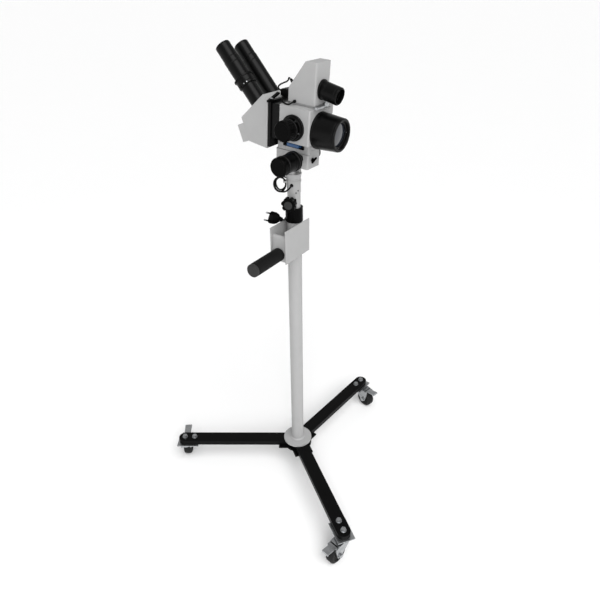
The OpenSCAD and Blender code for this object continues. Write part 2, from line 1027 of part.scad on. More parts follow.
module swivel_post() {
    slot_w = tongue_w + 2 * tongue_gap;
    color(white_paint)
        difference() {
            union() {
                translate([0, 0, swivel_z])
                    cylinder(h = post_shoulder_z - swivel_z, r1 = post_r, r2 = post_top_r, $fn = round_faces);
                translate([0, 0, swivel_z - pivot_spigot_l])
                    cylinder(h = pivot_spigot_l + overrun, d = pivot_spigot_d, $fn = round_faces);
                for (x = [-slot_w / 2 - fork_cheek_t, slot_w / 2]) {
                    translate([x, -cheek_r, post_shoulder_z - overrun])
                        cube([fork_cheek_t, 2 * cheek_r, tilt_z - post_shoulder_z + overrun]);
                    translate([x, 0, tilt_z])
                        rotate([0, 90, 0]) cylinder(h = fork_cheek_t, r = cheek_r);
                }
            }
            translate([-post_top_r - overrun, 0, tilt_z])
                rotate([0, 90, 0])
                    cylinder(h = 2 * (post_top_r + overrun), d = tilt_pin_d + 2 * fit);
        }
}

module tilt_pin() {
    half = (tongue_w + 2 * tongue_gap) / 2 + fork_cheek_t;
    color(zinc)
        translate([0, 0, tilt_z])
            rotate([0, 90, 0]) {
                translate([0, 0, -half]) cylinder(h = 2 * half, d = tilt_pin_d);
                for (z = [-half - tilt_pin_head_h - gap, half + gap])
                    translate([0, 0, z]) cylinder(h = tilt_pin_head_h, d = tilt_pin_head_d);
            }
}

// Focusing block, in the head frame
module dovetail_outline(slack) {
    polygon([
        [-dovetail_neck_w / 2 - slack, -overrun],
        [dovetail_neck_w / 2 + slack, -overrun],
        [dovetail_neck_w / 2 + slack, 0],
        [dovetail_w / 2 + slack, dovetail_h + slack],
        [-dovetail_w / 2 - slack, dovetail_h + slack],
        [-dovetail_neck_w / 2 - slack, 0]
    ]);
}

module focus_base() {
    length = base_front + base_back;
    color(grey_paint)
        difference() {
            union() {
                in_head() {
                    translate([0, base_back - length / 2, base_bottom])
                        round_box(base_block_w, length, base_block_h, body_corner);
                    translate([0, rail_back, base_top])
                        rotate([90, 0, 0])
                            linear_extrude(height = base_front + rail_back) dovetail_outline(0);
                }
                translate([-tongue_w / 2, 0, tilt_z])
                    rotate([0, 90, 0]) cylinder(h = tongue_w, r = tongue_r);
                translate([0, 0, tilt_z])
                    rotate([head_pitch, 0, 0])
                        translate([-tongue_w / 2, -tongue_r, 0])
                            cube([tongue_w, 2 * tongue_r, block_drop + base_bottom + overrun]);
            }
            translate([-tongue_w, 0, tilt_z])
                rotate([0, 90, 0]) cylinder(h = 2 * tongue_w, d = tilt_pin_d);
            in_head()
                translate([-base_block_w / 2 - overrun, -focus_axis_y, focus_axis_z])
                    rotate([0, 90, 0])
                        cylinder(h = base_block_w + 2 * overrun, d = shaft_d + 2 * fit);
            in_head()
                translate([lock_x, -base_front - overrun, lock_z])
                    rotate([-90, 0, 0])
                        cylinder(h = lock_stem_l + overrun, d = lock_stem_d + 2 * fit);
        }
}

// Turns the local Z axis to the near side of the head, with the shaft centre at the origin
module on_focus_axis() {
    in_head() translate([0, -focus_axis_y, focus_axis_z]) rotate([0, -90, 0]) children();
}

focus_near = base_block_w / 2 + gap;
focus_knob_start = focus_near + focus_boss_l;
focus_total = focus_knob_start + focus_ring_l + focus_mid_l + focus_end_l;
tension_start = -focus_near - tension_boss_l;

module focus_shaft() {
    color(zinc)
        on_focus_axis()
            translate([0, 0, tension_start - tension_l / 2])
                cylinder(h = focus_knob_start + focus_ring_l - tension_start + tension_l / 2,
                    d = shaft_d);
}

module focus_knob() {
    big_r = focus_knob_d / 2;
    mid_r = focus_mid_d / 2;
    end_r = focus_end_d / 2;
    ring_end = focus_knob_start + focus_ring_l;
    mid_end = ring_end + focus_mid_l;
    color(black_plastic)
        on_focus_axis()
            rotate_extrude($fn = round_faces)
                polygon([
                    [shaft_d / 2, focus_near],
                    [focus_boss_d / 2, focus_near],
                    [focus_boss_d / 2, focus_knob_start],
                    [big_r - focus_step, focus_knob_start],
                    [big_r, focus_knob_start + focus_step],
                    [big_r, ring_end - focus_step],
                    [mid_r, ring_end],
                    [mid_r, mid_end - focus_step],
                    [mid_r - focus_step, mid_end],
                    [end_r, mid_end + focus_step],
                    [end_r, focus_total - focus_step],
                    [end_r - focus_step, focus_total],
                    [0, focus_total],
                    [0, ring_end],
                    [shaft_d / 2, ring_end]
                ]);
}

module tension_knob() {
    knob_r = tension_knob_d / 2;
    outer_end = tension_start - tension_l;
    color(black_plastic)
        on_focus_axis()
            rotate_extrude($fn = round_faces)
                polygon([
                    [shaft_d / 2, -focus_near],
                    [shaft_d / 2, tension_start - tension_l / 2],
                    [0, tension_start - tension_l / 2],
                    [0, outer_end],
                    [knob_r - focus_step, outer_end],
                    [knob_r, outer_end + focus_step],
                    [knob_r, tension_start - focus_step],
                    [knob_r - focus_step, tension_start],
                    [focus_boss_d / 2, tension_start],
                    [focus_boss_d / 2, -focus_near]
                ]);
}

module lock_lever() {
    color(black_plastic)
        in_head()
            translate([lock_x, -base_front, lock_z])
                rotate([90, 0, 0]) {
                    translate([0, 0, -lock_stem_l + gap])
                        cylinder(h = lock_stem_l, d = lock_stem_d);
                    translate([0, 0, gap]) cylinder(h = lock_boss_l, d = lock_boss_d);
                    translate([0, 0, gap + lock_boss_l])
                        rotate([0, 90, lock_turn])
                            translate([0, 0, -lock_bar_l / 2])
                                cylinder(h = lock_bar_l, d = lock_bar_d);
                }
}

module focus_slide() {
    length = slide_front + slide_back;
    color(grey_paint)
        in_head()
            difference() {
                translate([0, slide_back - length / 2, slide_bottom])
                    round_box(slide_block_w, length, slide_block_h, body_corner);
                translate([0, slide_back + overrun, slide_bottom - gap])
                    rotate([90, 0, 0]) linear_extrude(height = length + 2 * overrun) dovetail_outline(gap);
                translate([-slide_block_w / 2 - overrun, -slot_front, slot_z])
                    cube([slot_depth + overrun, slot_front - slot_back, slot_h]);
            }
}

module filter_frame() {
    color(black_plastic)
        in_head()
            difference() {
                translate([-slide_block_w / 2 - slot_frame_t, -slot_front, slot_z])
                    cube([slot_depth + slot_frame_t, slot_front - slot_back, slot_h]);
                translate([
                    -slide_block_w / 2 - slot_frame_t - overrun,
                    -slot_front + slot_frame_t,
                    slot_z + slot_frame_t
                ])
                    cube([
                        slot_depth + slot_frame_t,
                        slot_front - slot_back - 2 * slot_frame_t,
                        slot_h - 2 * slot_frame_t
                    ]);
            }
}

module blue_filter() {
    color(filter_blue)
        in_head() {
            translate([
                -slide_block_w / 2 - slot_frame_t - filter_tab,
                -filter_front,
                slot_z + slot_frame_t + gap
            ])
                cube([
                    slot_depth - 2 * slot_frame_t + filter_tab,
                    filter_front - filter_back,
                    slot_h - 2 * slot_frame_t - 2 * gap
                ]);
        }
}

// Main body
module main_body() {
    color(grey_paint)
        in_head()
            difference() {
                union() {
                    translate([0, body_back - body_l / 2, body_bottom])
                        round_box(body_w, body_l, body_h, body_corner);
                    translate([lever_x - lever_lug_w / 2, -body_front - lever_lug_l, lug_z])
                        cube([lever_lug_w, lever_lug_l + overrun, lever_lug_t]);
                }
                translate([0, body_back - body_l / 2, body_bottom + case_wall])
                    round_box(
                        body_w - 2 * case_wall,
                        body_l - 2 * case_wall,
                        body_h - 2 * case_wall,
                        body_corner
                    );
                translate([-optic_offset, -body_front - overrun, optic_z])
                    rotate([-90, 0, 0])
                        cylinder(h = case_wall + 2 * overrun, d = barrel_seat_d, $fn = round_faces);
                translate([0, body_back + overrun, optic_z])
                    rotate([90, 0, 0])
                        cylinder(h = case_wall + 2 * overrun, d = rear_port_d, $fn = round_faces);
                translate([-body_w / 2 - overrun, -mag_y, mag_z])
                    rotate([0, 90, 0])
                        cylinder(h = case_wall + 2 * overrun, d = mag_shaft_d + 2 * fit);
                translate([lever_x, -lever_y, lug_z - overrun])
                    cylinder(h = lever_lug_t + 2 * overrun, d = lever_pin_d + 2 * fit);
            }
}

module on_mag_axis() {
    in_head() translate([-body_w / 2, -mag_y, mag_z]) rotate([0, -90, 0]) children();
}

module mag_flange() {
    color(black_plastic)
        on_mag_axis()
            difference() {
                union() {
                    cylinder(h = mag_flange_t, d = mag_flange_d, $fn = round_faces);
                    translate([0, 0, mag_flange_t])
                        cylinder(h = mag_step_t, d = mag_step_d, $fn = round_faces);
                }
                translate([0, 0, -overrun])
                    cylinder(h = mag_flange_t + mag_step_t + 2 * overrun, d = mag_shaft_d + 2 * fit);
            }
}

module fluted_outline(d, flutes, cut_d) {
    difference() {
        circle(d = d, $fn = round_faces);
        for (i = [0:flutes - 1])
            rotate([0, 0, i * 360 / flutes]) translate([d / 2 + cut_d / 4, 0]) circle(d = cut_d, $fn = 16);
    }
}

module mag_knob() {
    start = mag_flange_t + mag_step_t + gap;
    band = mag_knob_l / 4;
    color(black_plastic)
        on_mag_axis() {
            translate([0, 0, -case_wall]) cylinder(h = case_wall + start + band, d = mag_shaft_d);
            translate([0, 0, start]) cylinder(h = band, d = mag_knob_d - 2 * focus_step, $fn = round_faces);
            translate([0, 0, start + band])
                linear_extrude(height = mag_knob_l - band - focus_step)
                    fluted_outline(mag_knob_d, mag_knob_flutes, flute_d);
            translate([0, 0, start + mag_knob_l - focus_step])
                cylinder(h = focus_step, d1 = mag_knob_d - flute_d,
                    d2 = mag_knob_d - flute_d - 2 * focus_step,
                    $fn = round_faces);
        }
}

module on_optic_axis() {
    in_head() translate([-optic_offset, -body_front, optic_z]) rotate([90, 0, 0]) children();
}

module objective_barrel() {
    root_r = barrel_root_d / 2;
    front_r = barrel_front_d / 2;
    bore_r = front_bore_d / 2;
    lens_r = lens_seat_d / 2;
    inner_r = barrel_bore_d / 2;
    seat_r = barrel_seat_d / 2;
    bore_end = barrel_l - front_bore_l;
    lens_end = bore_end - lens_recess - lens_t;
    color(black_plastic)
        on_optic_axis() {
            rotate_extrude($fn = round_faces)
                polygon([
                    [seat_r - barrel_seat_wall, -barrel_seat_l],
                    [seat_r, -barrel_seat_l],
                    [seat_r, 0],
                    [root_r, 0],
                    [front_r, barrel_l - barrel_lip],
                    [front_r - barrel_lip, barrel_l],
                    [bore_r, barrel_l],
                    [bore_r, bore_end],
                    [lens_r, bore_end],
                    [lens_r, lens_end],
                    [inner_r, lens_end],
                    [inner_r, barrel_floor_t],
                    [seat_r - barrel_seat_wall, barrel_floor_t]
                ]);
            rotate([0, 0, clamp_screw_turn])
                translate([front_r - overrun, 0, barrel_l - clamp_screw_d])
                    rotate([0, 90, 0]) cylinder(h = clamp_screw_h, d = clamp_screw_d);
        }
}

module lens(d, t) {
    flat = t * lens_flat_share;
    cylinder(h = flat, d = d, $fn = round_faces);
    translate([0, 0, flat])
        cylinder(h = t - flat, d1 = d - t * lens_shares[0], d2 = d - t * lens_shares[1], $fn = round_faces);
}

module front_lenses() {
    color(lens_tint) {
        on_optic_axis()
            translate([0, 0, barrel_l - front_bore_l - lens_recess - lens_t])
                lens(lens_seat_d - 2 * fit, lens_t);
        on_lamp_axis()
            translate([0, 0, lamp_tube_l - lamp_lens_depth]) lens(lamp_bore_d - 2 * fit, lens_t / 2);
    }
}

module filter_lever() {
    color(zinc)
        in_head()
            translate([lever_x, -lever_y, lever_z]) {
                cylinder(h = lever_boss_h, d = lever_boss_d);
                translate([0, 0, -gap - lever_lug_t])
                    cylinder(h = lever_lug_t + gap + overrun, d = lever_pin_d);
                translate([-lever_arm_l, -lever_arm_w / 2, 0]) cube([lever_arm_l, lever_arm_w, lever_t]);
                translate([-lever_arm_l, 0, 0]) cylinder(h = lever_tip_h, d = lever_tip_d);
                cylinder(h = lever_knob_h, d = lever_knob_d);
            }
}

// Interface block and prism housing
module interface_plate() {
    color(black_paint)
        in_head()
            difference() {
                union() {
                    translate([-spacer_w / 2, body_back, body_bottom]) cube([spacer_w, spacer_l, spacer_h]);
                    translate([-plate_w / 2, body_back + spacer_l, plate_bottom])
                        cube([plate_w, plate_l, plate_top - plate_bottom]);
                }
                translate([0, joint_y + overrun, optic_z])
                    rotate([90, 0, 0])
                        cylinder(h = spacer_l + plate_l + 2 * overrun, d = rear_port_d, $fn = round_faces);
            }
}

ridge_y = joint_y + ridge_back;
ridge_z = prism_front_top + ridge_rise;
slant_y = ridge_y + slant_l;
slant_z = ridge_z - slant_l;
heel_y = slant_y - heel_in;
heel_z = prism_bottom + heel_rise;

module prism_outline(in) {
    polygon([
        [joint_y + in, prism_bottom + in],
        [joint_y + in, prism_front_top - in],
        [ridge_y, ridge_z - in * miter_share],
        [slant_y - in * miter_share, slant_z],
        [heel_y - in, heel_z + in]
    ]);
}

module on_tube_axis(x) {
    in_head()
        translate([x, ridge_y + slant_mid * cos(tube_lean), ridge_z - slant_mid * sin(tube_lean)])
            rotate([-tube_lean, 0, 0])
                children();
}

module prism_housing() {
    color(grey_paint)
        difference() {
            in_head() across_head(prism_w) prism_outline(0);
            in_head() across_head(prism_w - 2 * prism_wall) prism_outline(prism_wall);
            in_head()
                translate([0, joint_y + prism_wall + overrun, optic_z])
                    rotate([90, 0, 0])
                        cylinder(h = prism_wall + 2 * overrun, d = rear_port_d, $fn = round_faces);
            for (side = [-1, 1])
                on_tube_axis(side * eye_spacing / 2)
                    translate([0, 0, -prism_wall * 2]) {
                        for (x = [-eye_travel, eye_travel])
                            translate([x, 0, 0])
                                cylinder(h = prism_wall * 3, d = tube_spigot_d + 2 * gap);
                        translate([-eye_travel, -tube_spigot_d / 2 - gap, 0])
                            cube([2 * eye_travel, tube_spigot_d + 2 * gap, prism_wall * 3]);
                    }
        }
}

module prism_cover() {
    rise = slant_z - heel_z;
    run = slant_y - heel_y;
    lean = atan2(run, rise);
    span = sqrt(rise * rise + run * run);
    color(grey_paint)
        in_head()
            translate([-cover_w / 2, heel_y, heel_z])
                rotate([-lean, 0, 0])
                    cube([cover_w, cover_t, span - cover_drop]);
}

// Eyepiece tubes
module tube_shell(lower_r, length) {
    groove_at = length - eye_groove_back;
    eye_r = eye_bore_d / 2;
    outer_r = tube_r;
    upper_start = lower_r < barrel_tube_r ? diopter_start + diopter_l + diopter_flange_t + gap : gap;
    rotate_extrude($fn = round_faces)
        polygon([
            [0, -tube_spigot_l],
            [tube_spigot_d / 2, -tube_spigot_l],
            [tube_spigot_d / 2, gap],
            [lower_r, gap],
            [lower_r, upper_start],
            [barrel_tube_r, upper_start],
            [barrel_tube_r, groove_at],
            [outer_r - eye_groove, groove_at],
            [outer_r - eye_groove, groove_at + 4 * eye_groove],
            [outer_r, groove_at + 4 * eye_groove],
            [outer_r, length - eye_round],
            [outer_r - eye_round / 3, length - eye_round / 3],
            [outer_r - eye_round, length],
            [eye_r, length],
            [eye_r - eye_round, length - eye_bore_l],
            [0, length - eye_bore_l]
        ]);
}

module tube_near() {
    color(black_paint) on_tube_axis(-eye_spacing / 2) tube_shell(lower_tube_r, tube_l + diopter_out);
}

module tube_far() {
    color(black_paint) on_tube_axis(eye_spacing / 2) tube_shell(barrel_tube_r, tube_l);
}

module diopter_ring() {
    color(black_plastic)
        on_tube_axis(-eye_spacing / 2)
            difference() {
                union() {
                    translate([0, 0, diopter_start])
                        cylinder(h = diopter_l, r = diopter_r, $fn = round_faces);
                    translate([0, 0, diopter_start + diopter_l])
                        linear_extrude(height = diopter_flange_t)
                            fluted_outline(2 * diopter_flange_r, diopter_flutes, flute_d);
                }
                translate([0, 0, diopter_start - overrun])
                    cylinder(h = diopter_l + diopter_flange_t + 2 * overrun, r = lower_tube_r + fit,
                        $fn = round_faces);
            }
}

// Lamp
lamp_top = body_top + lamp_h;

module lamp_outline(in) {
    polygon([
        [lamp_back - in, body_top + lamp_foot_h - (in > 0 ? overrun : 0)],
        [lamp_back - in, body_top + lamp_back_h - in / 2],
        [-lamp_front + lamp_top_l - in / 2, lamp_top - in],
        [-lamp_front + in, lamp_top - in],
        [-lamp_front + in, body_top + lamp_foot_h - (in > 0 ? overrun : 0)]
    ]);
}

module on_lamp_axis() {
    in_head() translate([0, -lamp_front, lamp_axis_z]) rotate([90 + lamp_tilt, 0, 0]) children();
}

module lamp_housing() {
    depth = lamp_front + lamp_back;
    color(grey_paint)
        difference() {
            in_head() {
                intersection() {
                    across_head(lamp_w) lamp_outline(0);
                    translate([0, (lamp_back - lamp_front) / 2, body_top])
                        round_box(lamp_w, depth, lamp_h + overrun, lamp_corner);
                }
                translate([lamp_foot_inset - lamp_w / 2, lamp_foot_inset - lamp_front, body_top])
                    cube([lamp_w - 2 * lamp_foot_inset, depth - 2 * lamp_foot_inset, lamp_foot_h + overrun]);
            }
            in_head() across_head(lamp_w - 2 * lamp_wall - lamp_corner) lamp_outline(lamp_wall);
            in_head()
                translate([0, lamp_wall - lamp_front + overrun, lamp_axis_z])
                    rotate([90, 0, 0])
                        cylinder(h = lamp_wall + 2 * overrun, d = lamp_bore_d, $fn = round_faces);
        }
}

module lamp_tube() {
    tube_r = lamp_tube_d / 2;
    bore_r = lamp_bore_d / 2;
    lens_at = lamp_tube_l - lamp_lens_depth;
    color(black_plastic)
        difference() {
            union() {
                on_lamp_axis()
                    translate([0, 0, -lamp_tube_d / 2])
                        cylinder(h = lamp_tube_d, d = lamp_tube_d, $fn = round_faces);
                in_head()
                    translate([0, -lamp_front, lamp_axis_z])
                        rotate([90, 0, 0]) cylinder(h = lamp_flange_t, d = lamp_flange_d, $fn = round_faces);
                on_lamp_axis()
                    rotate_extrude($fn = round_faces)
                        polygon([
                            [0, 0],
                            [tube_r, 0],
                            [tube_r, lamp_tube_l - barrel_lip],
                            [tube_r - barrel_lip, lamp_tube_l],
                            [0, lamp_tube_l]
                        ]);
            }
            on_lamp_axis() {
                translate([0, 0, lens_at])
                    cylinder(h = lamp_lens_depth + overrun, r = bore_r, $fn = round_faces);
                translate([0, 0, -lamp_tube_d])
                    cylinder(h = lamp_tube_d + lamp_tube_l, r = bore_r - barrel_lip, $fn = round_faces);
            }
            in_head()
                translate([-lamp_w / 2, -lamp_front, body_top]) cube([lamp_w, lamp_tube_d, lamp_h]);
        }
}

module lamp_connector() {
    slope = atan2(lamp_h - lamp_back_h, lamp_front - lamp_top_l + lamp_back);
    color(black_plastic)
        in_head() {
            translate([connector_x - connector_w / 2, lamp_back, body_top + connector_rise]) {
                cube([connector_w, connector_l - connector_step, connector_h]);
                translate([connector_end_inset, 0, connector_end_inset])
                    cube([
                        connector_w - 2 * connector_end_inset,
                        connector_l,
                        connector_h - 2 * connector_end_inset
                    ]);
            }
            translate([relief_x, lamp_back, body_top + lamp_back_h])
                rotate([-slope, 0, 0])
                    translate([0, -relief_up, 0])
                        cylinder(h = relief_l, d1 = relief_d, d2 = relief_tip_d);
            translate([-lamp_w / 2, side_plug_y, body_top + side_plug_rise])
                rotate([0, -90, 0]) cylinder(h = side_plug_l, d = side_plug_d);
        }
}

module lamp_lead() {
    color(black_plastic) in_head() sweep_tube(smooth(loop_points, 3), lead_d / 2, 8);
}

module side_lead() {
    color(black_plastic) in_head() sweep_tube(smooth(side_points, 3), lead_d / 2, 8);
}

module head_lock() {
    color(black_plastic)
        in_head()
            translate([lock_pivot_x, lock_arm_y, plate_top]) {
                cylinder(h = lock_arm_t, d = lock_screw_d + lock_arm_t);
                translate([0, 0, lock_arm_t])
                    rotate([0, -lock_arm_lean, 0])
                        translate([-lock_arm_near, -lock_arm_w / 2, -lock_arm_t / 2])
                            cube([lock_arm_near + lock_arm_far, lock_arm_w, lock_arm_t]);
            }
}

// Tubes swept along a list of points
function unit(v) = v / norm(v);
function tangent(p, i) = unit(p[min(i + 1, len(p) - 1)] - p[max(i - 1, 0)]);
function carry(n, t) = unit(n - (n * t) * t);
function frames(p, i, n) = i == len(p) ? [] :
    let (m = carry(n, tangent(p, i))) concat([m], frames(p, i + 1, m));
function first_normal(t) = abs(t[2]) < 0.8 ? carry([0, 0, 1], t) : carry([1, 0, 0], t);

module sweep_tube(p, r, faces) {
    side = frames(p, 0, first_normal(tangent(p, 0)));
    points = [for (i = [0:len(p) - 1], j = [0:faces - 1])
        let (a = 360 * j / faces, n = side[i], b = cross(tangent(p, i), n))
            p[i] + r * cos(a) * n + r * sin(a) * b];
    last = len(p) - 1;
    walls = [for (i = [0:last - 1], j = [0:faces - 1], half = [0, 1])
        let (k = (j + 1) % faces, a = i * faces + j, b = i * faces + k, c = a + faces, d = b + faces)
            half == 0 ? [a, c, b] : [b, c, d]];
    start_cap = [for (j = [1:faces - 2]) [0, j, j + 1]];
    end_cap = [for (j = [1:faces - 2]) [last * faces, last * faces + j + 1, last * faces + j]];
    polyhedron(points = points, faces = concat(walls, start_cap, end_cap));
}

// Routes of the two leads behind the lamp, in the head frame
loop_points = [[-24.2, 0.7, 163.7], [-24.4, 2.6, 165.4], [-17, 10, 158.5], [-11, 19, 152.5], [-8, 29, 148],
    [-8, 38, 143], [-9.5, 42, 138.5], [-11, 40, 134.5], [-11.5, 34.5, 132], [-11.5, 31.5, 131.5]];
side_points = [[-18.5, 21, 121.2], [-21, 20.9, 121], [-25, 19.5, 117], [-33, 12, 113.6],
    [-40, 1.5, 113.5],
    [-43.5, -7, 113.5], [-42.5, -14.5, 115], [-38.5, -18.7, 119], [-34.5, -19, 119.5]];

// Cord: drawn with X sideways from the neck, Y towards the near side and Z up from the exit hole
module in_cord_frame() {
    translate([0, 0, cord_exit_z]) rotate([0, 0, hank_turn]) children();
}

function hank_point(a) = [
    hank_x + hank_a * sin(a),
    hank_y + hank_pitch * (hank_turns / 2 - a / 360),
    -hank_b * cos(a)
];
hank_route = [for (i = [0:hank_turns * hank_steps]) hank_point(i * 360 / hank_steps)];

lead_points = [[4, 13.5, 0], [5.3, 17.2, 0], [6.6, 21.5, 0], [8.5, 25, -1.5], [12, 26.5, -5], [17, 23.5, -10],
    [22, 17.5, -15], [27.5, 12.2, -17.3], [33.2, 10.1, -17.5]];
run_points = [[33.2, -2.1, 17.5], [27, -4, 16.5], [20.5, -10.5, 12.5], [13, -19, 4], [7, -24, -9],
    [4, -25.5, -24], [3.5, -26.3, -41], [3.4, -26.5, -61], [3.6, -26.3, -78], [8.4, -25.4, -89.5],
    [16.6, -20.8, -95],
    [22.4, -12.1, -96.4], [25, -2.3, -96.2], [26.6, 7.7, -94.1], [32.3, 12.3, -90.9]];

// A smooth curve through a list of points, with some steps from each to the next
function bend(a, b, c, d, t) =
    b + t / 2 * (c - a) + t * t * (a - 2.5 * b + 2 * c - d / 2)
        + t * t * t * (-a / 2 + 1.5 * b - 1.5 * c + d / 2);
function smooth(p, steps) = let (n = len(p) - 1) concat(
    [for (i = [0:n - 1], k = [0:steps - 1])
        bend(p[max(i - 1, 0)], p[i], p[i + 1], p[min(i + 2, n)], k / steps)],
    [p[n]]);

lead_route_fine = smooth(lead_points, 2);
run_route_fine = smooth(run_points, 3);
function path_length(p) = [for (i = [1:len(p) - 1]) norm(p[i] - p[i - 1])] * [for (i = [1:len(p) - 1]) 1];
function least_gap(p, apart) =
    min([for (i = [0:len(p) - 1 - apart], j = [i + apart:len(p) - 1]) norm(p[i] - p[j])]);
echo(hank_gap = least_gap(hank_route, hank_steps / 2) - cord_d);
echo(cord_length = path_length(lead_route_fine) + path_length(hank_route) + path_length(run_route_fine));

module cord_hank() {
    color(black_plastic) in_cord_frame() sweep_tube(hank_route, cord_r, hank_faces);
}

module cord_run() {
    color(black_plastic)
        in_cord_frame() {
            sweep_tube(lead_route_fine, cord_r, cord_faces);
            sweep_tube(run_route_fine, cord_r, cord_faces);
        }
}

module cord_tie() {
    loop_front = hank_x - hank_a + cord_d + tie_slack;
    loop_back = hank_y - hank_pitch;
    loop_l = hank_pitch + 2 * cord_d;
    color(black_plastic)
        in_cord_frame()
            translate([0, 0, tie_rise])
                difference() {
                    union() {
                        cylinder(h = tie_h, r = sleeve_r + tie_t, $fn = round_faces);
                        translate([sleeve_r - tie_t, loop_back - tie_t, 0])
                            cube([loop_front + 2 * tie_t - sleeve_r, loop_l + 2 * tie_t, tie_h]);
                    }
                    translate([0, 0, -overrun])
                        cylinder(h = tie_h + 2 * overrun, r = sleeve_r, $fn = round_faces);
                    translate([sleeve_r + tie_t, loop_back, -overrun])
                        cube([loop_front - tie_t - sleeve_r, loop_l, tie_h + 2 * overrun]);
                }
}

module mains_plug() {
    color(black_plastic)
        in_cord_frame()
            translate(plug_face)
                rotate([0, 90 - plug_tilt, plug_turn]) {
                    rotate_extrude()
                        polygon([
                            [0, -plug_l],
                            [plug_end_r, -plug_l],
                            [plug_r, -plug_front_l],
                            [plug_r, 0],
                            [0, 0]
                        ]);
                    for (side = [-1, 1])
                        translate([side * pin_spacing / 2, 0, -overrun])
                            cylinder(h = pin_l + overrun, d = pin_d, $fn = 24);
                }
}

hub_disc();
hub_lower_plate();
leg_left();
leg_front();
leg_rear();
caster_plates();
base_bolts();
column_tube();
clamp_collar();
bracket_plates();
bracket_web();
handle_grip();
handle_cap();
clamp_knob();
clamp_stud();
fork_left();
fork_front();
fork_rear();
wheel_left();
wheel_front();
wheel_rear();
brake_left();
brake_front();
brake_rear();
neck_tube();
neck_sleeve();
cord_grommet();
swivel_post();
tilt_pin();
focus_base();
focus_shaft();
focus_knob();
tension_knob();
lock_lever();
focus_slide();
filter_frame();
blue_filter();
main_body();
mag_flange();
mag_knob();
objective_barrel();
front_lenses();
interface_plate();
prism_housing();
prism_cover();
tube_near();
tube_far();
diopter_ring();
lamp_housing();
lamp_tube();
lamp_connector();
lamp_lead();
side_lead();
head_lock();
filter_lever();
cord_hank();
cord_run();
cord_tie();
mains_plug();
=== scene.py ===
"""Colposcope on a rolling stand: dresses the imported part, adds its fine pieces and sets up the studio."""

from __future__ import annotations

import json
import logging
import math
from dataclasses import dataclass, field
from enum import Enum

import bmesh
import bpy
from mathutils import Euler, Matrix, Vector


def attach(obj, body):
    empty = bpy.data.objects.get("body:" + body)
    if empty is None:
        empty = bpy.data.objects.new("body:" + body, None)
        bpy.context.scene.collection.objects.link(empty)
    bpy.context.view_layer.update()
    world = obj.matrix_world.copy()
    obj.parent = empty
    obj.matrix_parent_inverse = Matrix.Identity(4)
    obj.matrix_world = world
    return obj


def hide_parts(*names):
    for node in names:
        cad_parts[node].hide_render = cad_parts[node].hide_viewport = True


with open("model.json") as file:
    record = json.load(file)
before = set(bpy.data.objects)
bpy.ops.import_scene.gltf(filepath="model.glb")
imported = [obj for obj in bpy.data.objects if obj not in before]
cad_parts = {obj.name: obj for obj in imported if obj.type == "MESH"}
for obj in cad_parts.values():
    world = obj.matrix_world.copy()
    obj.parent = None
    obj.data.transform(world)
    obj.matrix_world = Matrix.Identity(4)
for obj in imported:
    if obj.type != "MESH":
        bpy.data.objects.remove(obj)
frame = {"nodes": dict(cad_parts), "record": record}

LOG = logging.getLogger("colposcope")
MM = 0.001
UNMOVED = Matrix.Identity(4)
Point = tuple[float, float, float]
Profile = list[tuple[float, float]]


class Slot(Enum):
    """The finishes that the record names."""

    WHITE_ENAMEL = "white_enamel"
    GREY_ENAMEL = "grey_enamel"
    HEAD_ENAMEL = "head_enamel"
    BLACK_ENAMEL = "black_enamel"
    BLACK_ANODISED = "black_anodised"
    ZINC = "zinc_plated"
    BLACK_PLASTIC = "black_plastic"
    CAP_PLASTIC = "cap_plastic"
    GRIP_RUBBER = "grip_rubber"
    CORD_RUBBER = "cord_rubber"
    TYRE = "wheel_tyre"
    LENS = "lens_glass"
    FILTER = "filter_glass"


SLOT_OF = {entry["node"]: Slot(entry["material_slot"]) for entry in frame["record"]["subparts"]}
BODY_OF = {node: body for body, nodes in frame["record"]["behaviour"]["bodies"].items() for node in nodes}


def shift(x: float, y: float, z: float) -> Matrix:
    """Gives a move by millimetres."""
    return Matrix.Translation((x * MM, y * MM, z * MM))


def turn(degrees: float, axis: str) -> Matrix:
    """Gives a turn round X, Y or Z."""
    return Matrix.Rotation(math.radians(degrees), 4, axis)


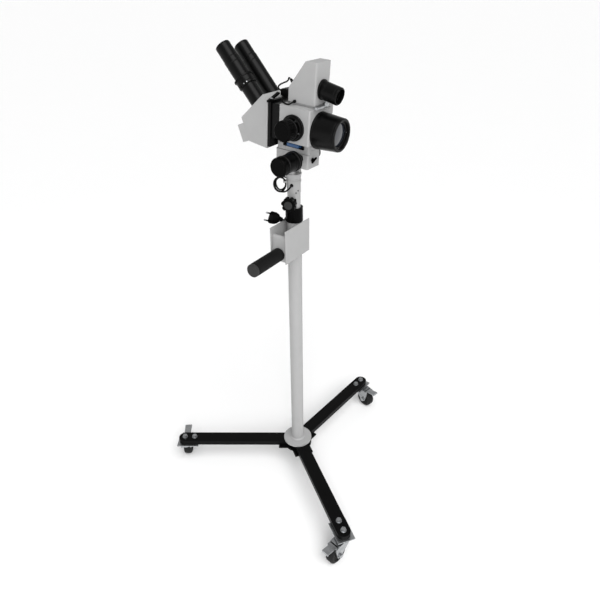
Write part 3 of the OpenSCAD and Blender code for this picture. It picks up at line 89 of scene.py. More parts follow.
@dataclass(frozen=True)
class Layout:
    """Where the sub-assemblies stand, in the part's own sizes: millimetres and degrees."""

    head_z: float = 1051.0
    head_pitch: float = 4.2
    focus_y: float = -38.0
    focus_z: float = -7.0
    body_half_w: float = 50.0
    mag_y: float = -31.0
    mag_z: float = 67.0
    optic_x: float = -5.0
    optic_z: float = 61.0
    body_front: float = -73.3
    ridge_y: float = 56.0
    ridge_z: float = 124.5
    slant_mid: float = 35.0
    tube_lean: float = 45.0
    lamp_front: float = -70.4
    lamp_axis_z: float = 148.5
    lamp_tilt: float = 10.0
    clamp_turn: float = 196.0
    knob_z: float = 924.0
    handle_x: float = -68.0
    handle_z: float = 799.0
    swivel_reach: float = 375.0
    leg_angles: tuple[float, ...] = (123.5, 234.0, 355.0)
    caster_turns: tuple[float, ...] = (37.0, 170.0, 255.0)

    def head(self, x: float = 0.0, y: float = 0.0, z: float = 0.0) -> Matrix:
        """Gives a place in the head's own directions."""
        return shift(0, 0, self.head_z) @ turn(self.head_pitch, "X") @ shift(x, y, z)

    def focus_axis(self) -> Matrix:
        """Gives the focusing axis, its Z towards the large knob."""
        return self.head(0, self.focus_y, self.focus_z) @ turn(-90, "Y")

    def mag_axis(self) -> Matrix:
        """Gives the magnification axis, its Z out of the near side."""
        return self.head(-self.body_half_w, self.mag_y, self.mag_z) @ turn(-90, "Y")

    def optic_axis(self) -> Matrix:
        """Gives the objective's axis, its Z forwards."""
        return self.head(self.optic_x, self.body_front, self.optic_z) @ turn(90, "X")

    def tube_axis(self, x: float) -> Matrix:
        """Gives an eyepiece tube's axis, its Z towards the eye."""
        run = self.slant_mid * math.cos(math.radians(self.tube_lean))
        return self.head(x, self.ridge_y + run, self.ridge_z - run) @ turn(-self.tube_lean, "X")

    def lamp_axis(self) -> Matrix:
        """Gives the lamp tube's axis, its Z forwards."""
        return self.head(0, self.lamp_front, self.lamp_axis_z) @ turn(90 + self.lamp_tilt, "X")

    def clamp(self) -> Matrix:
        """Gives the clamp screw's axis, its Z towards the star knob."""
        return turn(self.clamp_turn, "Z") @ shift(0, 0, self.knob_z) @ turn(90, "Y")

    def handle(self) -> Matrix:
        """Gives the handle's axis, its Z towards the end cap."""
        return shift(self.handle_x, 0, self.handle_z) @ turn(-90, "Y")

    def caster(self, index: int) -> Matrix:
        """Gives a caster's swivel axis, its X along the fork."""
        angle = self.leg_angles[index]
        return turn(angle, "Z") @ shift(self.swivel_reach, 0, 0) @ turn(self.caster_turns[index] - angle, "Z")


LAYOUT = Layout()


class NodePen:
    """Writes the nodes of one material."""

    def __init__(self, name: str) -> None:
        """Starts a material with its output and its main shader.

        Args:
            name: the material's name.
        """
        self.material = bpy.data.materials.new(name)
        self.material.use_nodes = True
        self.tree = self.material.node_tree
        self.shader = self.tree.nodes["Principled BSDF"]
        self.place = self.tree.nodes.new("ShaderNodeTexCoord").outputs["Object"]

    def stretch(self, scale: Point) -> bpy.types.NodeSocket:
        """Stretches the piece's own coordinates.

        Args:
            scale: the factors along X, Y and Z.

        Returns:
            The stretched coordinates.
        """
        node = self.tree.nodes.new("ShaderNodeMapping")
        node.inputs["Scale"].default_value = scale
        self.tree.links.new(self.place, node.inputs["Vector"])
        return node.outputs["Vector"]

    def noise(
        self, scale: float, detail: float = 4.0, roughness: float = 0.5, along: bpy.types.NodeSocket | None = None
    ) -> bpy.types.NodeSocket:
        """Adds noise on the piece's own coordinates.

        Args:
            scale: grains to the metre.
            detail: how many finer layers it has.
            roughness: how strong the finer layers are.
            along: other coordinates to read, such as stretched ones.

        Returns:
            The socket that gives the noise, from 0 to 1.
        """
        node = self.tree.nodes.new("ShaderNodeTexNoise")
        node.inputs["Scale"].default_value = scale
        node.inputs["Detail"].default_value = detail
        node.inputs["Roughness"].default_value = roughness
        self.tree.links.new(along or self.place, node.inputs["Vector"])
        return node.outputs["Fac"]

    def ramp(
        self, source: bpy.types.NodeSocket, low: float, high: float, start: float = 0.0, end: float = 1.0
    ) -> bpy.types.NodeSocket:
        """Maps a value onto another range.

        Args:
            source: the value.
            low: what the start becomes.
            high: what the end becomes.
            start: the value that becomes low.
            end: the value that becomes high.

        Returns:
            The mapped value.
        """
        node = self.tree.nodes.new("ShaderNodeMapRange")
        node.inputs["From Min"].default_value = start
        node.inputs["From Max"].default_value = end
        node.inputs["To Min"].default_value = low
        node.inputs["To Max"].default_value = high
        self.tree.links.new(source, node.inputs["Value"])
        return node.outputs["Result"]

    def blend(self, amount: bpy.types.NodeSocket, first: Point, second: Point) -> bpy.types.NodeSocket:
        """Mixes two colours.

        Args:
            amount: 0 for the first colour and 1 for the second.
            first: red, green and blue.
            second: red, green and blue.

        Returns:
            The mixed colour.
        """
        node = self.tree.nodes.new("ShaderNodeMix")
        node.data_type = "RGBA"
        node.inputs["A"].default_value = (*first, 1.0)
        node.inputs["B"].default_value = (*second, 1.0)
        self.tree.links.new(amount, node.inputs["Factor"])
        return node.outputs["Result"]

    def painted_sheen_factor(self, amount: float) -> bpy.types.NodeSocket:
        """Gives the painted sheen factor: the Layer Weight fresnel that lightens a base colour where the surface turns
        edge-on to the view.
        """
        node = self.tree.nodes.new("ShaderNodeLayerWeight")
        node.inputs["Blend"].default_value = amount
        return node.outputs["Fresnel"]

    def bump(self, height: bpy.types.NodeSocket, depth: float) -> None:
        """Raises the surface a little.

        Args:
            height: the height from 0 to 1.
            depth: what 1 means, in metres.
        """
        node = self.tree.nodes.new("ShaderNodeBump")
        node.inputs["Distance"].default_value = depth
        self.tree.links.new(height, node.inputs["Height"])
        self.tree.links.new(node.outputs["Normal"], self.shader.inputs["Normal"])

    def feed(self, socket: str, source: bpy.types.NodeSocket) -> None:
        """Joins a value to one of the main shader's sockets."""
        self.tree.links.new(source, self.shader.inputs[socket])

    def fix(self, socket: str, value: float | Point) -> None:
        """Sets one of the main shader's sockets to a constant."""
        entry = self.shader.inputs[socket]
        entry.default_value = (*value, 1.0) if isinstance(value, tuple) else value


@dataclass(frozen=True)
class Finish:
    """A surface: two close colours, a range of gloss, a fine grain and, on metal, a brushed direction."""

    light: Point
    dark: Point
    gloss: tuple[float, float]
    grain: float
    depth: float
    metallic: float = 0.0
    coat: float = 0.0
    specular: float = 0.5
    blotch: float = 14.0
    brushed: Point | None = None

    def build(self, name: str) -> bpy.types.Material:
        """Makes the material.

        Args:
            name: its name.

        Returns:
            The finished material.
        """
        pen = NodePen(name)
        patches = pen.ramp(pen.noise(self.blotch, roughness=0.6), low=0.0, high=1.0, start=0.3, end=0.7)
        pen.feed("Base Color", pen.blend(patches, self.dark, self.light))
        along = pen.stretch(self.brushed) if self.brushed else None
        grain = pen.noise(self.grain, detail=3.0, roughness=0.55, along=along)
        pen.feed("Roughness", pen.ramp(grain, *self.gloss, start=0.25, end=0.75))
        pen.bump(grain, self.depth)
        pen.fix("Metallic", self.metallic)
        pen.fix("Coat Weight", self.coat)
        pen.fix("Specular IOR Level", self.specular)
        return pen.material


@dataclass(frozen=True)
class Glass:
    """A coated lens or a coloured filter: glossy and tinted, with a painted sheen: a lighter colour painted where it
    turns edge-on to the view.
    """

    colour: Point
    # edge is the painted sheen colour, lighter, painted where the surface turns edge-on
    edge: Point
    roughness: float = 0.04
    coat: float = 0.6

    def build(self, name: str) -> bpy.types.Material:
        """Makes the material.

        Args:
            name: its name.

        Returns:
            The finished material.
        """
        pen = NodePen(name)
        haze = pen.noise(60.0, detail=2.0)
        # painted sheen: the base colour shifts towards the lighter edge colour where the surface turns edge-on,
        # standing in for a reflection
        pen.feed("Base Color", pen.blend(pen.painted_sheen_factor(0.5), self.colour, self.edge))
        pen.feed("Roughness", pen.ramp(haze, self.roughness, self.roughness * 2))
        pen.fix("Coat Weight", self.coat)
        pen.fix("Coat Roughness", 0.03)
        return pen.material


def grey(value: float) -> Point:
    """Gives a neutral colour."""
    return (value, value, value)


FINISHES = {
    Slot.WHITE_ENAMEL: Finish(grey(0.375), grey(0.35), (0.30, 0.42), 900, 0.00003, specular=0.3),
    Slot.GREY_ENAMEL: Finish(grey(0.375), grey(0.35), (0.40, 0.54), 1400, 0.00006, specular=0.2),
    Slot.HEAD_ENAMEL: Finish(grey(0.37), grey(0.345), (0.38, 0.52), 1400, 0.00006, specular=0.2),
    Slot.BLACK_ENAMEL: Finish(grey(0.0025), grey(0.0015), (0.34, 0.48), 900, 0.00004, specular=0.08),
    Slot.BLACK_ANODISED: Finish(
        grey(0.0020), grey(0.0012), (0.24, 0.36), 1500, 0.00002, specular=0.14, brushed=(1, 1, 0.25)
    ),
    Slot.ZINC: Finish(
        (0.50, 0.51, 0.52), (0.33, 0.34, 0.35), (0.22, 0.42), 700, 0.00002, metallic=1.0, blotch=60.0,
        brushed=(1.0, 1.0, 0.12),
    ),
    Slot.BLACK_PLASTIC: Finish(grey(0.0015), grey(0.0010), (0.26, 0.40), 1600, 0.00005, specular=0.045),
    # cap_plastic also colours the grey bands painted as highlights on the knobs' edges
    Slot.CAP_PLASTIC: Finish(grey(0.034), grey(0.027), (0.46, 0.6), 1600, 0.00005, specular=0.12),
    Slot.GRIP_RUBBER: Finish(grey(0.007), grey(0.004), (0.58, 0.78), 1100, 0.00012, specular=0.12),
    Slot.CORD_RUBBER: Finish(grey(0.005), grey(0.003), (0.36, 0.5), 1200, 0.00004, specular=0.08),
    Slot.TYRE: Finish(grey(0.014), grey(0.008), (0.5, 0.68), 800, 0.0001, specular=0.15),
    # each glass's second colour is a painted sheen, lighter where the surface turns edge-on
    Slot.LENS: Glass((0.008, 0.009, 0.012), (0.055, 0.065, 0.085)),
    Slot.FILTER: Glass((0.014, 0.075, 0.21), (0.02, 0.09, 0.22), roughness=0.12, coat=0.1),
}


class Wardrobe:
    """Makes each finish once and puts it on pieces."""

    def __init__(self) -> None:
        """Starts with nothing made."""
        self.made: dict[Slot, bpy.types.Material] = {}

    def get(self, slot: Slot) -> bpy.types.Material:
        """Gives the material of a slot.

        Args:
            slot: the finish that is wanted.

        Returns:
            Its material, made at the first call.
        """
        if slot not in self.made:
            self.made[slot] = FINISHES[slot].build(slot.value)
        return self.made[slot]

    def dress(self, obj: bpy.types.Object, slot: Slot) -> None:
        """Gives a piece one finish all over."""
        obj.data.materials.clear()
        obj.data.materials.append(self.get(slot))

    def dress_frame(self) -> None:
        """Dresses every node that came with the frame in its own slot's finish."""
        for node, slot in SLOT_OF.items():
            self.dress(frame["nodes"][node], slot)
        LOG.info("dressed %d nodes of the frame", len(SLOT_OF))


@dataclass(frozen=True)
class Studio:
    """Camera at the photograph's angle, soft lights and a pale floor, in metres and degrees."""

    image_px: float = 600.0
    focal_px: float = 540.0
    sensor_mm: float = 36.0
    place: Point = (-1.0644, -0.7453, 1.4132)
    turn_deg: Point = (58.803, 0.531, -55.866)
    floor_m: float = 100.0
    sky_strength: float = 0.47
    horizon_strength: float = 1.0
    fade_start: float = 0.06
    fade_end: float = 0.30
    key_azimuth: float = 238.0
    key_lean: float = 36.0
    key_spread: float = 50.0
    key_strength: float = 2.15
    fill_place: Point = (-2.1, -1.5, 1.7)
    fill_size: float = 0.9
    fill_watts: float = 20.0
    aim: Point = (0.0, 0.0, 0.8)

    def camera(self) -> None:
        """Makes the camera that took the photograph."""
        data = bpy.data.cameras.new("photo_camera")
        data.sensor_width = self.sensor_mm
        data.lens = self.focal_px / self.image_px * self.sensor_mm
        data.clip_end = 2 * self.floor_m
        obj = bpy.data.objects.new("photo_camera", data)
        angles = Euler([math.radians(a) for a in self.turn_deg])
        obj.matrix_world = Matrix.Translation(self.place) @ angles.to_matrix().to_4x4()
        bpy.context.scene.collection.objects.link(obj)
        bpy.context.scene.camera = obj

    def light(self, name: str, kind: str, strength: float, place: Matrix) -> bpy.types.Light:
        """Adds a light.

        Args:
            name: the light's name.
            kind: what kind of light it is.
            strength: how strong it is.
            place: where it stands, turned to where it shines.

        Returns:
            Its data, whose width is still to be set.
        """
        data = bpy.data.lights.new(name, kind)
        data.energy = strength
        obj = bpy.data.objects.new(name, data)
        obj.matrix_world = place
        bpy.context.scene.collection.objects.link(obj)
        return data

    def lights(self) -> None:
        """Adds a very wide far light from above and a small soft one on the near side."""
        key = self.light("soft_key", "SUN", self.key_strength, turn(self.key_azimuth, "Z") @ turn(self.key_lean, "Y"))
        key.angle = math.radians(self.key_spread)
        look = (Vector(self.aim) - Vector(self.fill_place)).to_track_quat("-Z", "Y").to_matrix().to_4x4()
        fill = self.light("near_fill", "AREA", self.fill_watts, Matrix.Translation(self.fill_place) @ look)
        fill.size = self.fill_size

    def sky(self) -> None:
        """Surrounds the object with an even soft light that is paler near the floor."""
        world = bpy.data.worlds.new("studio")
        world.use_nodes = True
        tree = world.node_tree
        shader = tree.nodes["Background"]
        shader.inputs["Color"].default_value = (1.0, 1.0, 1.0, 1.0)
        split = tree.nodes.new("ShaderNodeSeparateXYZ")
        fade = tree.nodes.new("ShaderNodeMapRange")
        fade.interpolation_type = "SMOOTHSTEP"
        fade.inputs["From Min"].default_value = self.fade_start
        fade.inputs["From Max"].default_value = self.fade_end
        fade.inputs["To Min"].default_value = self.horizon_strength
        fade.inputs["To Max"].default_value = self.sky_strength
        tree.links.new(tree.nodes.new("ShaderNodeTexCoord").outputs["Generated"], split.inputs["Vector"])
        tree.links.new(split.outputs["Z"], fade.inputs["Value"])
        tree.links.new(fade.outputs["Result"], shader.inputs["Strength"])
        bpy.context.scene.world = world

    def floor(self) -> None:
        """Lays the pale floor."""
        half = self.floor_m / 2
        mesh = bpy.data.meshes.new("floor")
        corners = [(-half, -half, 0), (half, -half, 0), (half, half, 0), (-half, half, 0)]
        mesh.from_pydata(corners, [], [(0, 1, 2, 3)])
        obj = bpy.data.objects.new("floor", mesh)
        bpy.context.scene.collection.objects.link(obj)
        pen = NodePen("floor_white")
        pen.feed("Base Color", pen.blend(pen.noise(3.0), grey(0.945), grey(0.955)))
        pen.fix("Roughness", 0.9)
        pen.fix("Specular IOR Level", 0.1)
        mesh.materials.append(pen.material)

    def build(self) -> None:
        """Makes everything that isn't part of the object."""
        self.camera()
        self.floor()
        self.sky()
        bpy.context.scene.view_settings.view_transform = "Standard"
        self.lights()
        LOG.info("studio ready")


@dataclass(frozen=True)
class CordRoute:
    """The mains cord's way, in millimetres: X sideways from the neck, Y to the near side, Z up from the hole."""

    turn_deg: float = 125.0
    exit_z: float = 966.0
    hank_x: float = 33.5
    hank_y: float = 4.0
    hank_a: float = 13.5
    hank_b: float = 17.5
    hank_pitch: float = 4.8
    hank_turns: float = 2.5
    hank_steps: int = 24
    hank_spread: float = 0.3
    smooth_steps: int = 4
    lead: tuple[Point, ...] = (
        (4, 13.5, 0), (5.3, 17.2, 0), (6.6, 21.5, 0), (8.5, 25, -1.5), (12, 26.5, -5), (17, 23.5, -10),
        (22, 17.5, -15), (27.5, 12.2, -17.3), (33.5, 10, -17.5),
    )
    run: tuple[Point, ...] = (
        (33.5, -2, 17.5), (27, -4, 16.5), (20.5, -10.5, 12.5), (13, -19, 4), (7, -24, -9), (4, -25.5, -24),
        (3.5, -26.3, -41), (3.4, -26.5, -61), (3.6, -26.3, -78), (8.4, -25.4, -89.5), (16.6, -20.8, -95),
        (22.4, -12.1, -96.4), (25, -2.3, -96.2), (26.6, 7.7, -94.1), (32.3, 12.3, -90.9),
    )

    def smooth(self, points: tuple[Point, ...]) -> list[Vector]:
        """Bends a smooth line through points.

        Args:
            points: the points that it passes through.

        Returns:
            The points of the smooth line.
        """
        p = [Vector(q) for q in points]
        last = len(p) - 1
        out = []
        for i in range(last):
            a, b, c, d = p[max(i - 1, 0)], p[i], p[i + 1], p[min(i + 2, last)]
            for k in range(self.smooth_steps):
                t = k / self.smooth_steps
                out.append(
                    b + t / 2 * (c - a) + t * t * (a - 2.5 * b + 2 * c - d / 2)
                    + t * t * t * (-a / 2 + 1.5 * b - 1.5 * c + d / 2)
                )
        return out + [p[last]]

    def hank(self) -> list[Vector]:
        """Winds the hank.

        Returns:
            The points of its turns.
        """
        out = []
        for i in range(int(self.hank_turns * self.hank_steps) + 1):
            turns = i / self.hank_steps
            a = turns * math.tau
            loose = self.hank_spread * math.sin(math.tau * turns / self.hank_turns)
            wide = self.hank_a * (1.0 + loose if math.sin(a) > 0 else 1.0)
            out.append(Vector((
                self.hank_x + wide * math.sin(a),
                self.hank_y + self.hank_pitch * (self.hank_turns / 2 - turns),
                -self.hank_b * (1.0 + loose / 3) * math.cos(a),
            )))
        return out

    def place(self) -> Matrix:
        """Gives the cord's own frame in the row frame."""
        return shift(0, 0, self.exit_z) @ turn(self.turn_deg, "Z")

    def points(self) -> list[Vector]:
        """Gives the whole way in the row frame, in metres."""
        line = self.smooth(self.lead)[:-1] + self.hank()[:-1] + self.smooth(self.run)
        return [self.place() @ (point * MM) for point in line]


def line_length(points: list[Vector]) -> float:
    """Measures a line of points.

    Args:
        points: the points in order.

    Returns:
        The length from the first to the last.
    """
    return sum((b - a).length for a, b in zip(points, points[1:]))


def tube_curve(name: str, points: list[Vector], radius: float) -> bpy.types.Object:
    """Makes a round tube along a line.

    Args:
        name: the piece's name.
        points: the line, in metres.
        radius: the tube's radius, in metres.

    Returns:
        The curve object.
    """
    data = bpy.data.curves.new(name, "CURVE")
    data.dimensions = "3D"
    data.bevel_depth = radius
    data.bevel_resolution = 4
    data.use_fill_caps = True
    spline = data.splines.new("POLY")
    spline.points.add(len(points) - 1)
    for entry, point in zip(spline.points, points):
        entry.co = (*point, 1.0)
    obj = bpy.data.objects.new(name, data)
    bpy.context.scene.collection.objects.link(obj)
    return obj


class RepeatTree:
    """Geometry Nodes that copy one item round a ring, along a row, or both."""

    def __init__(self) -> None:
        """Builds the tree once."""
        tree = bpy.data.node_groups.new("repeat_item", "GeometryNodeTree")
        kinds = {"Item": "Geometry", "Count": "Int", "Turn": "Float", "Step": "Vector", "Finish": "Material"}
        self.keys = {
            name: tree.interface.new_socket(name=name, in_out="INPUT", socket_type="NodeSocket" + kind).identifier
            for name, kind in kinds.items()
        }
        tree.interface.new_socket(name="Copies", in_out="OUTPUT", socket_type="NodeSocketGeometry")
        entry, leave, index, move, angle, spin, rotation, points, copies, realize, colour = (
            tree.nodes.new(kind) for kind in (
                "NodeGroupInput", "NodeGroupOutput", "GeometryNodeInputIndex", "ShaderNodeVectorMath", "ShaderNodeMath",
                "ShaderNodeCombineXYZ", "FunctionNodeEulerToRotation", "GeometryNodePoints",
                "GeometryNodeInstanceOnPoints", "GeometryNodeRealizeInstances", "GeometryNodeSetMaterial",
            )
        )
        move.operation, angle.operation = "SCALE", "MULTIPLY"
        for source, output, target, socket in (
            (entry, "Step", move, "Vector"), (index, "Index", move, "Scale"),
            (index, "Index", angle, 0), (entry, "Turn", angle, 1),
            (angle, "Value", spin, "Z"), (spin, "Vector", rotation, "Euler"),
            (entry, "Count", points, "Count"), (move, "Vector", points, "Position"),
            (points, "Points", copies, "Points"), (entry, "Item", copies, "Instance"),
            (rotation, "Rotation", copies, "Rotation"), (copies, "Instances", realize, "Geometry"),
            (realize, "Geometry", colour, "Geometry"), (entry, "Finish", colour, "Material"),
            (colour, "Geometry", leave, "Copies"),
        ):
            tree.links.new(source.outputs[output], target.inputs[socket])
        self.tree = tree


def evaluated(obj: bpy.types.Object) -> bpy.types.Mesh:
    """Gives what an object's modifiers make of it, as a plain mesh."""
    graph = bpy.context.evaluated_depsgraph_get()
    graph.update()
    return bpy.data.meshes.new_from_object(obj.evaluated_get(graph), preserve_all_data_layers=True, depsgraph=graph)


def rounded(corners: Profile, radius: float, steps: int) -> Profile:
    """Rounds the corners of a profile, but not its two ends.

    Args:
        corners: radius and height of each corner, in order.
        radius: how far from a corner its rounding starts, less where a side is short.
        steps: how many straight steps a rounding has.

    Returns:
        The profile with each corner replaced by a small arc.
    """
    out = [corners[0]]
    for before, here, after in zip(corners, corners[1:], corners[2:]):
        p, q, r = Vector(before), Vector(here), Vector(after)
        reach = min(radius, 0.45 * (p - q).length, 0.45 * (r - q).length)
        start, end = q + (p - q).normalized() * reach, q + (r - q).normalized() * reach
        for k in range(steps + 1):
            t = k / steps
            spot = start * (1 - t) ** 2 + q * 2 * t * (1 - t) + end * t * t
            out.append((spot.x, spot.y))
    return out + [corners[-1]]


def groove(radius: float, start: float, depth: float, flank: float, floor: float = 0.8) -> Profile:
    """Gives the corners of a groove in a profile.

    Args:
        radius: the surface that it is cut in.
        start: the height where it starts.
        depth: how deep it is.
        flank: how much height each of its sides takes.
        floor: how wide its floor is.

    Returns:
        Its four corners, from the start upwards.
    """
    low, high = start + flank, start + flank + floor
    return [(radius, start), (radius - depth, low), (radius - depth, high), (radius, high + flank)]


class Workshop:
    """Makes meshes, puts them in place and parents them to the bodies that carry them."""

    bevel_steps = 3
    bevel_deg = 28.0
    sharp_deg = 38.0
    flat_deg = 0.6
    weld_m = 2e-6

    def __init__(self, wardrobe: Wardrobe) -> None:
        """Starts with the finishes and the repeating tree.

        Args:
            wardrobe: the finishes.
        """
        self.wardrobe = wardrobe
        self.repeat_tree = RepeatTree()

    def lathe(
        self, profile: Profile, rounding: float = 0.0, arc: int = 3, steps: int = 96, closed: bool = False
    ) -> bmesh.types.BMesh:
        """Turns a profile round Z.

        Args:
            profile: radius and height of each corner, in millimetres.
            rounding: how far its corners are rounded, in millimetres.
            arc: how many straight steps a rounding has.
            steps: how many faces it has round it.
            closed: joins the last point to the first, as for a ring.

        Returns:
            The turned solid.
        """
        bm = bmesh.new()
        rings = []
        for radius, height in rounded(profile, rounding, arc) if rounding else profile:
            if radius < 1e-6:
                rings.append([bm.verts.new((0, 0, height * MM))] * steps)
                continue
            rings.append([
                bm.verts.new((radius * MM * math.cos(a), radius * MM * math.sin(a), height * MM))
                for a in (math.tau * k / steps for k in range(steps))
            ])
        pairs = list(zip(rings, rings[1:])) + ([(rings[-1], rings[0])] if closed else [])
        for low, high in pairs:
            for k in range(steps):
                n = (k + 1) % steps
                corners = list(dict.fromkeys((low[k], low[n], high[n], high[k])))
                if len(corners) > 2:
                    bm.faces.new(corners)
        bmesh.ops.recalc_face_normals(bm, faces=bm.faces)
        return bm

    def band(self, inner: float, outer: float, low: float, high: float, rounding: float) -> bmesh.types.BMesh:
        """Turns a narrow band round Z between two radii and two heights, in millimetres."""
        return self.lathe([(inner, low), (outer, low), (outer, high), (inner, high)], rounding, 2, closed=True)

    def loft(self, outlines: list[list[Point]]) -> bmesh.types.BMesh:
        """Joins outlines with as many points each into one closed solid.

        Args:
            outlines: the outlines in order, in millimetres.

        Returns:
            The solid.
        """
        bm = bmesh.new()
        rings = [[bm.verts.new([v * MM for v in point]) for point in outline] for outline in outlines]
        for low, high in zip(rings, rings[1:]):
            for k in range(len(low)):
                n = (k + 1) % len(low)
                bm.faces.new((low[k], low[n], high[n], high[k]))
        bm.faces.new(rings[0])
        bm.faces.new(rings[-1])
        bmesh.ops.recalc_face_normals(bm, faces=bm.faces)
        return bm

    def block(self, size: Point, centre: Point, rounding: float) -> bmesh.types.BMesh:
        """Makes a block with rounded edges.

        Args:
            size: its sides, in millimetres.
            centre: its middle.
            rounding: the radius of its edges.

        Returns:
            The block.
        """
        bm = bmesh.new()
        bmesh.ops.create_cube(bm, size=1.0)
        bm.transform(Matrix.Translation([v * MM for v in centre]) @ Matrix.Diagonal([v * MM for v in size] + [1.0]))
        bmesh.ops.bevel(
            bm, geom=list(bm.edges), offset=rounding * MM, segments=self.bevel_steps, profile=0.5, affect="EDGES",
            clamp_overlap=True,
        )
        return bm

    def merged(self, parts: list[tuple[bmesh.types.BMesh, Matrix]]) -> bmesh.types.BMesh:
        """Puts several solids into one.

        Args:
            parts: the solids and their places.

        Returns:
            One solid of all.
        """
        out = bmesh.new()
        for bm, place in parts:
            bm.transform(place)
            mesh = bpy.data.meshes.new("part")
            bm.to_mesh(mesh)
            out.from_mesh(mesh)
            bpy.data.meshes.remove(mesh)
            bm.free()
        return out

    def hand_over(self, obj: bpy.types.Object, body: str, slot: Slot, stands_for: tuple[str, ...] = ()) -> None:
        """Dresses a piece, parents it to the body that carries it and hides the solids that it stands for.

        Args:
            obj: the piece.
            body: the body that it rides on.
            slot: its finish.
            stands_for: the solids that it replaces.
        """
        self.wardrobe.dress(obj, slot)
        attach(obj, body)
        if stands_for:
            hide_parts(*stands_for)

    def settle(
        self, name: str, bm: bmesh.types.BMesh, place: Matrix, body: str, slot: Slot, stands_for: tuple[str, ...] = (),
        bevel: float = 0.0
    ) -> bpy.types.Object:
        """Finishes a piece: its place, its soft edges, its shading, its finish and the body that carries it.

        Args:
            name: the piece's name.
            bm: its mesh, in metres.
            place: where it goes.
            body: the body that it rides on.
            slot: its finish.
            stands_for: the solids that it replaces.
            bevel: the radius of its edges, in millimetres.

        Returns:
            The finished object.
        """
        bm.transform(place)
        mesh = bpy.data.meshes.new(name)
        bm.to_mesh(mesh)
        bm.free()
        mesh.shade_smooth()
        mesh.set_sharp_from_angle(angle=math.radians(self.sharp_deg))
        obj = bpy.data.objects.new(name, mesh)
        bpy.context.scene.collection.objects.link(obj)
        if bevel:
            edge = obj.modifiers.new("edges", "BEVEL")
            edge.width, edge.segments, edge.limit_method = bevel * MM, self.bevel_steps, "ANGLE"
            edge.angle_limit = math.radians(self.bevel_deg)
        normals = obj.modifiers.new("normals", "WEIGHTED_NORMAL")
        normals.keep_sharp = not bevel
        plain = evaluated(obj)
        obj.modifiers.clear()
        obj.data = plain
        plain.name = name
        self.hand_over(obj, body, slot, stands_for)
        LOG.info("%s: %d faces on %s", name, len(plain.polygons), body)
        return obj

    def stand_in(
        self, name: str, bm: bmesh.types.BMesh, place: Matrix, node: str, slot: Slot | None = None, bevel: float = 0.0
    ) -> bpy.types.Object:
        """Settles a piece in a solid's stead, on the solid's body.

        Args:
            name: the piece's name.
            bm: its mesh, in metres.
            place: where it goes.
            node: the solid that it replaces.
            slot: its finish, where it isn't the solid's.
            bevel: the radius of its edges, in millimetres.

        Returns:
            The finished object.
        """
        return self.settle(name, bm, place, BODY_OF[node], slot or SLOT_OF[node], (node,), bevel)

    def soften(self, node: str, bevel: float, slot: Slot | None = None, top: float | None = None) -> bpy.types.Object:
        """Stands a copy with soft edges and smooth shading in for a solid.

        Args:
            node: the solid.
            bevel: the radius of its edges, in millimetres.
            slot: its finish, where it isn't the solid's.
            top: the height that it is cut off at, in millimetres, where it is lower than the solid.

        Returns:
            The piece.
        """
        bm = bmesh.new()
        bm.from_mesh(frame["nodes"][node].data)
        bmesh.ops.remove_doubles(bm, verts=bm.verts, dist=self.weld_m)
        bmesh.ops.dissolve_limit(
            bm, angle_limit=math.radians(self.flat_deg), verts=list(bm.verts), edges=list(bm.edges),
            use_dissolve_boundaries=False,
        )
        if top is not None:
            everything = list(bm.verts) + list(bm.edges) + list(bm.faces)
            bmesh.ops.bisect_plane(
                bm, geom=everything, dist=1e-6, plane_co=(0, 0, top * MM), plane_no=(0, 0, 1), clear_outer=True
            )
            bmesh.ops.holes_fill(bm, edges=[edge for edge in bm.edges if edge.is_boundary])
            bmesh.ops.recalc_face_normals(bm, faces=bm.faces)
        return self.stand_in(node + "_finished", bm, UNMOVED, node, slot, bevel)

    def soften_all(self, bevels: dict[str, float]) -> None:
        """Softens several solids, each with the radius of its edges in millimetres."""
        for node, bevel in bevels.items():
            self.soften(node, bevel)

    def repeat(
        self, name: str, item: bmesh.types.BMesh, count: int, place: Matrix, body: str, slot: Slot,
        turn_deg: float | None = None, step: Point = (0.0, 0.0, 0.0)
    ) -> bpy.types.Object:
        """Copies an item with the repeating tree and settles the result.

        Args:
            name: the piece's name.
            item: one item, in metres, round Z.
            count: how many there are.
            place: where the whole goes.
            body: the body that it rides on.
            slot: its finish.
            turn_deg: the turn from each to the next, or nothing for a full ring.
            step: the move from each to the next, in millimetres.

        Returns:
            The finished object.
        """
        mesh = bpy.data.meshes.new(name + "_item")
        item.to_mesh(mesh)
        item.free()
        obj = bpy.data.objects.new(name + "_item", mesh)
        bpy.context.scene.collection.objects.link(obj)
        nodes = obj.modifiers.new("repeat", "NODES")
        nodes.node_group = self.repeat_tree.tree
        angle = math.radians(360 / count if turn_deg is None else turn_deg)
        values = {"Count": count, "Turn": angle, "Step": [v * MM for v in step], "Finish": self.wardrobe.get(slot)}
        for key, value in values.items():
            nodes[self.repeat_tree.keys[key]] = value
        plain = evaluated(obj)
        bpy.data.objects.remove(obj)
        bm = bmesh.new()
        bm.from_mesh(plain)
        bpy.data.meshes.remove(plain)
        return self.settle(name, bm, place, body, slot)

    def screw(self, head_d: float, head_h: float, socket_d: float = 0.0) -> bmesh.types.BMesh:
        """Makes a small screw head round Z, standing on the ground, with a socket or a dome.

        Args:
            head_d: the head's diameter, in millimetres.
            head_h: its height.
            socket_d: the socket's width, or 0 for a domed head.

        Returns:
            The head.
        """
        r = head_d / 2
        if not socket_d:
            return self.lathe([(r, -0.4), (r, head_h * 0.5), (r * 0.55, head_h), (0, head_h)], 0.3, 2, 20)
        s, floor = socket_d / 2, head_h * 0.3
        return self.lathe([(r, -0.4), (r, head_h), (s, head_h), (s, floor), (0, floor)], head_h * 0.2, 2, 18)


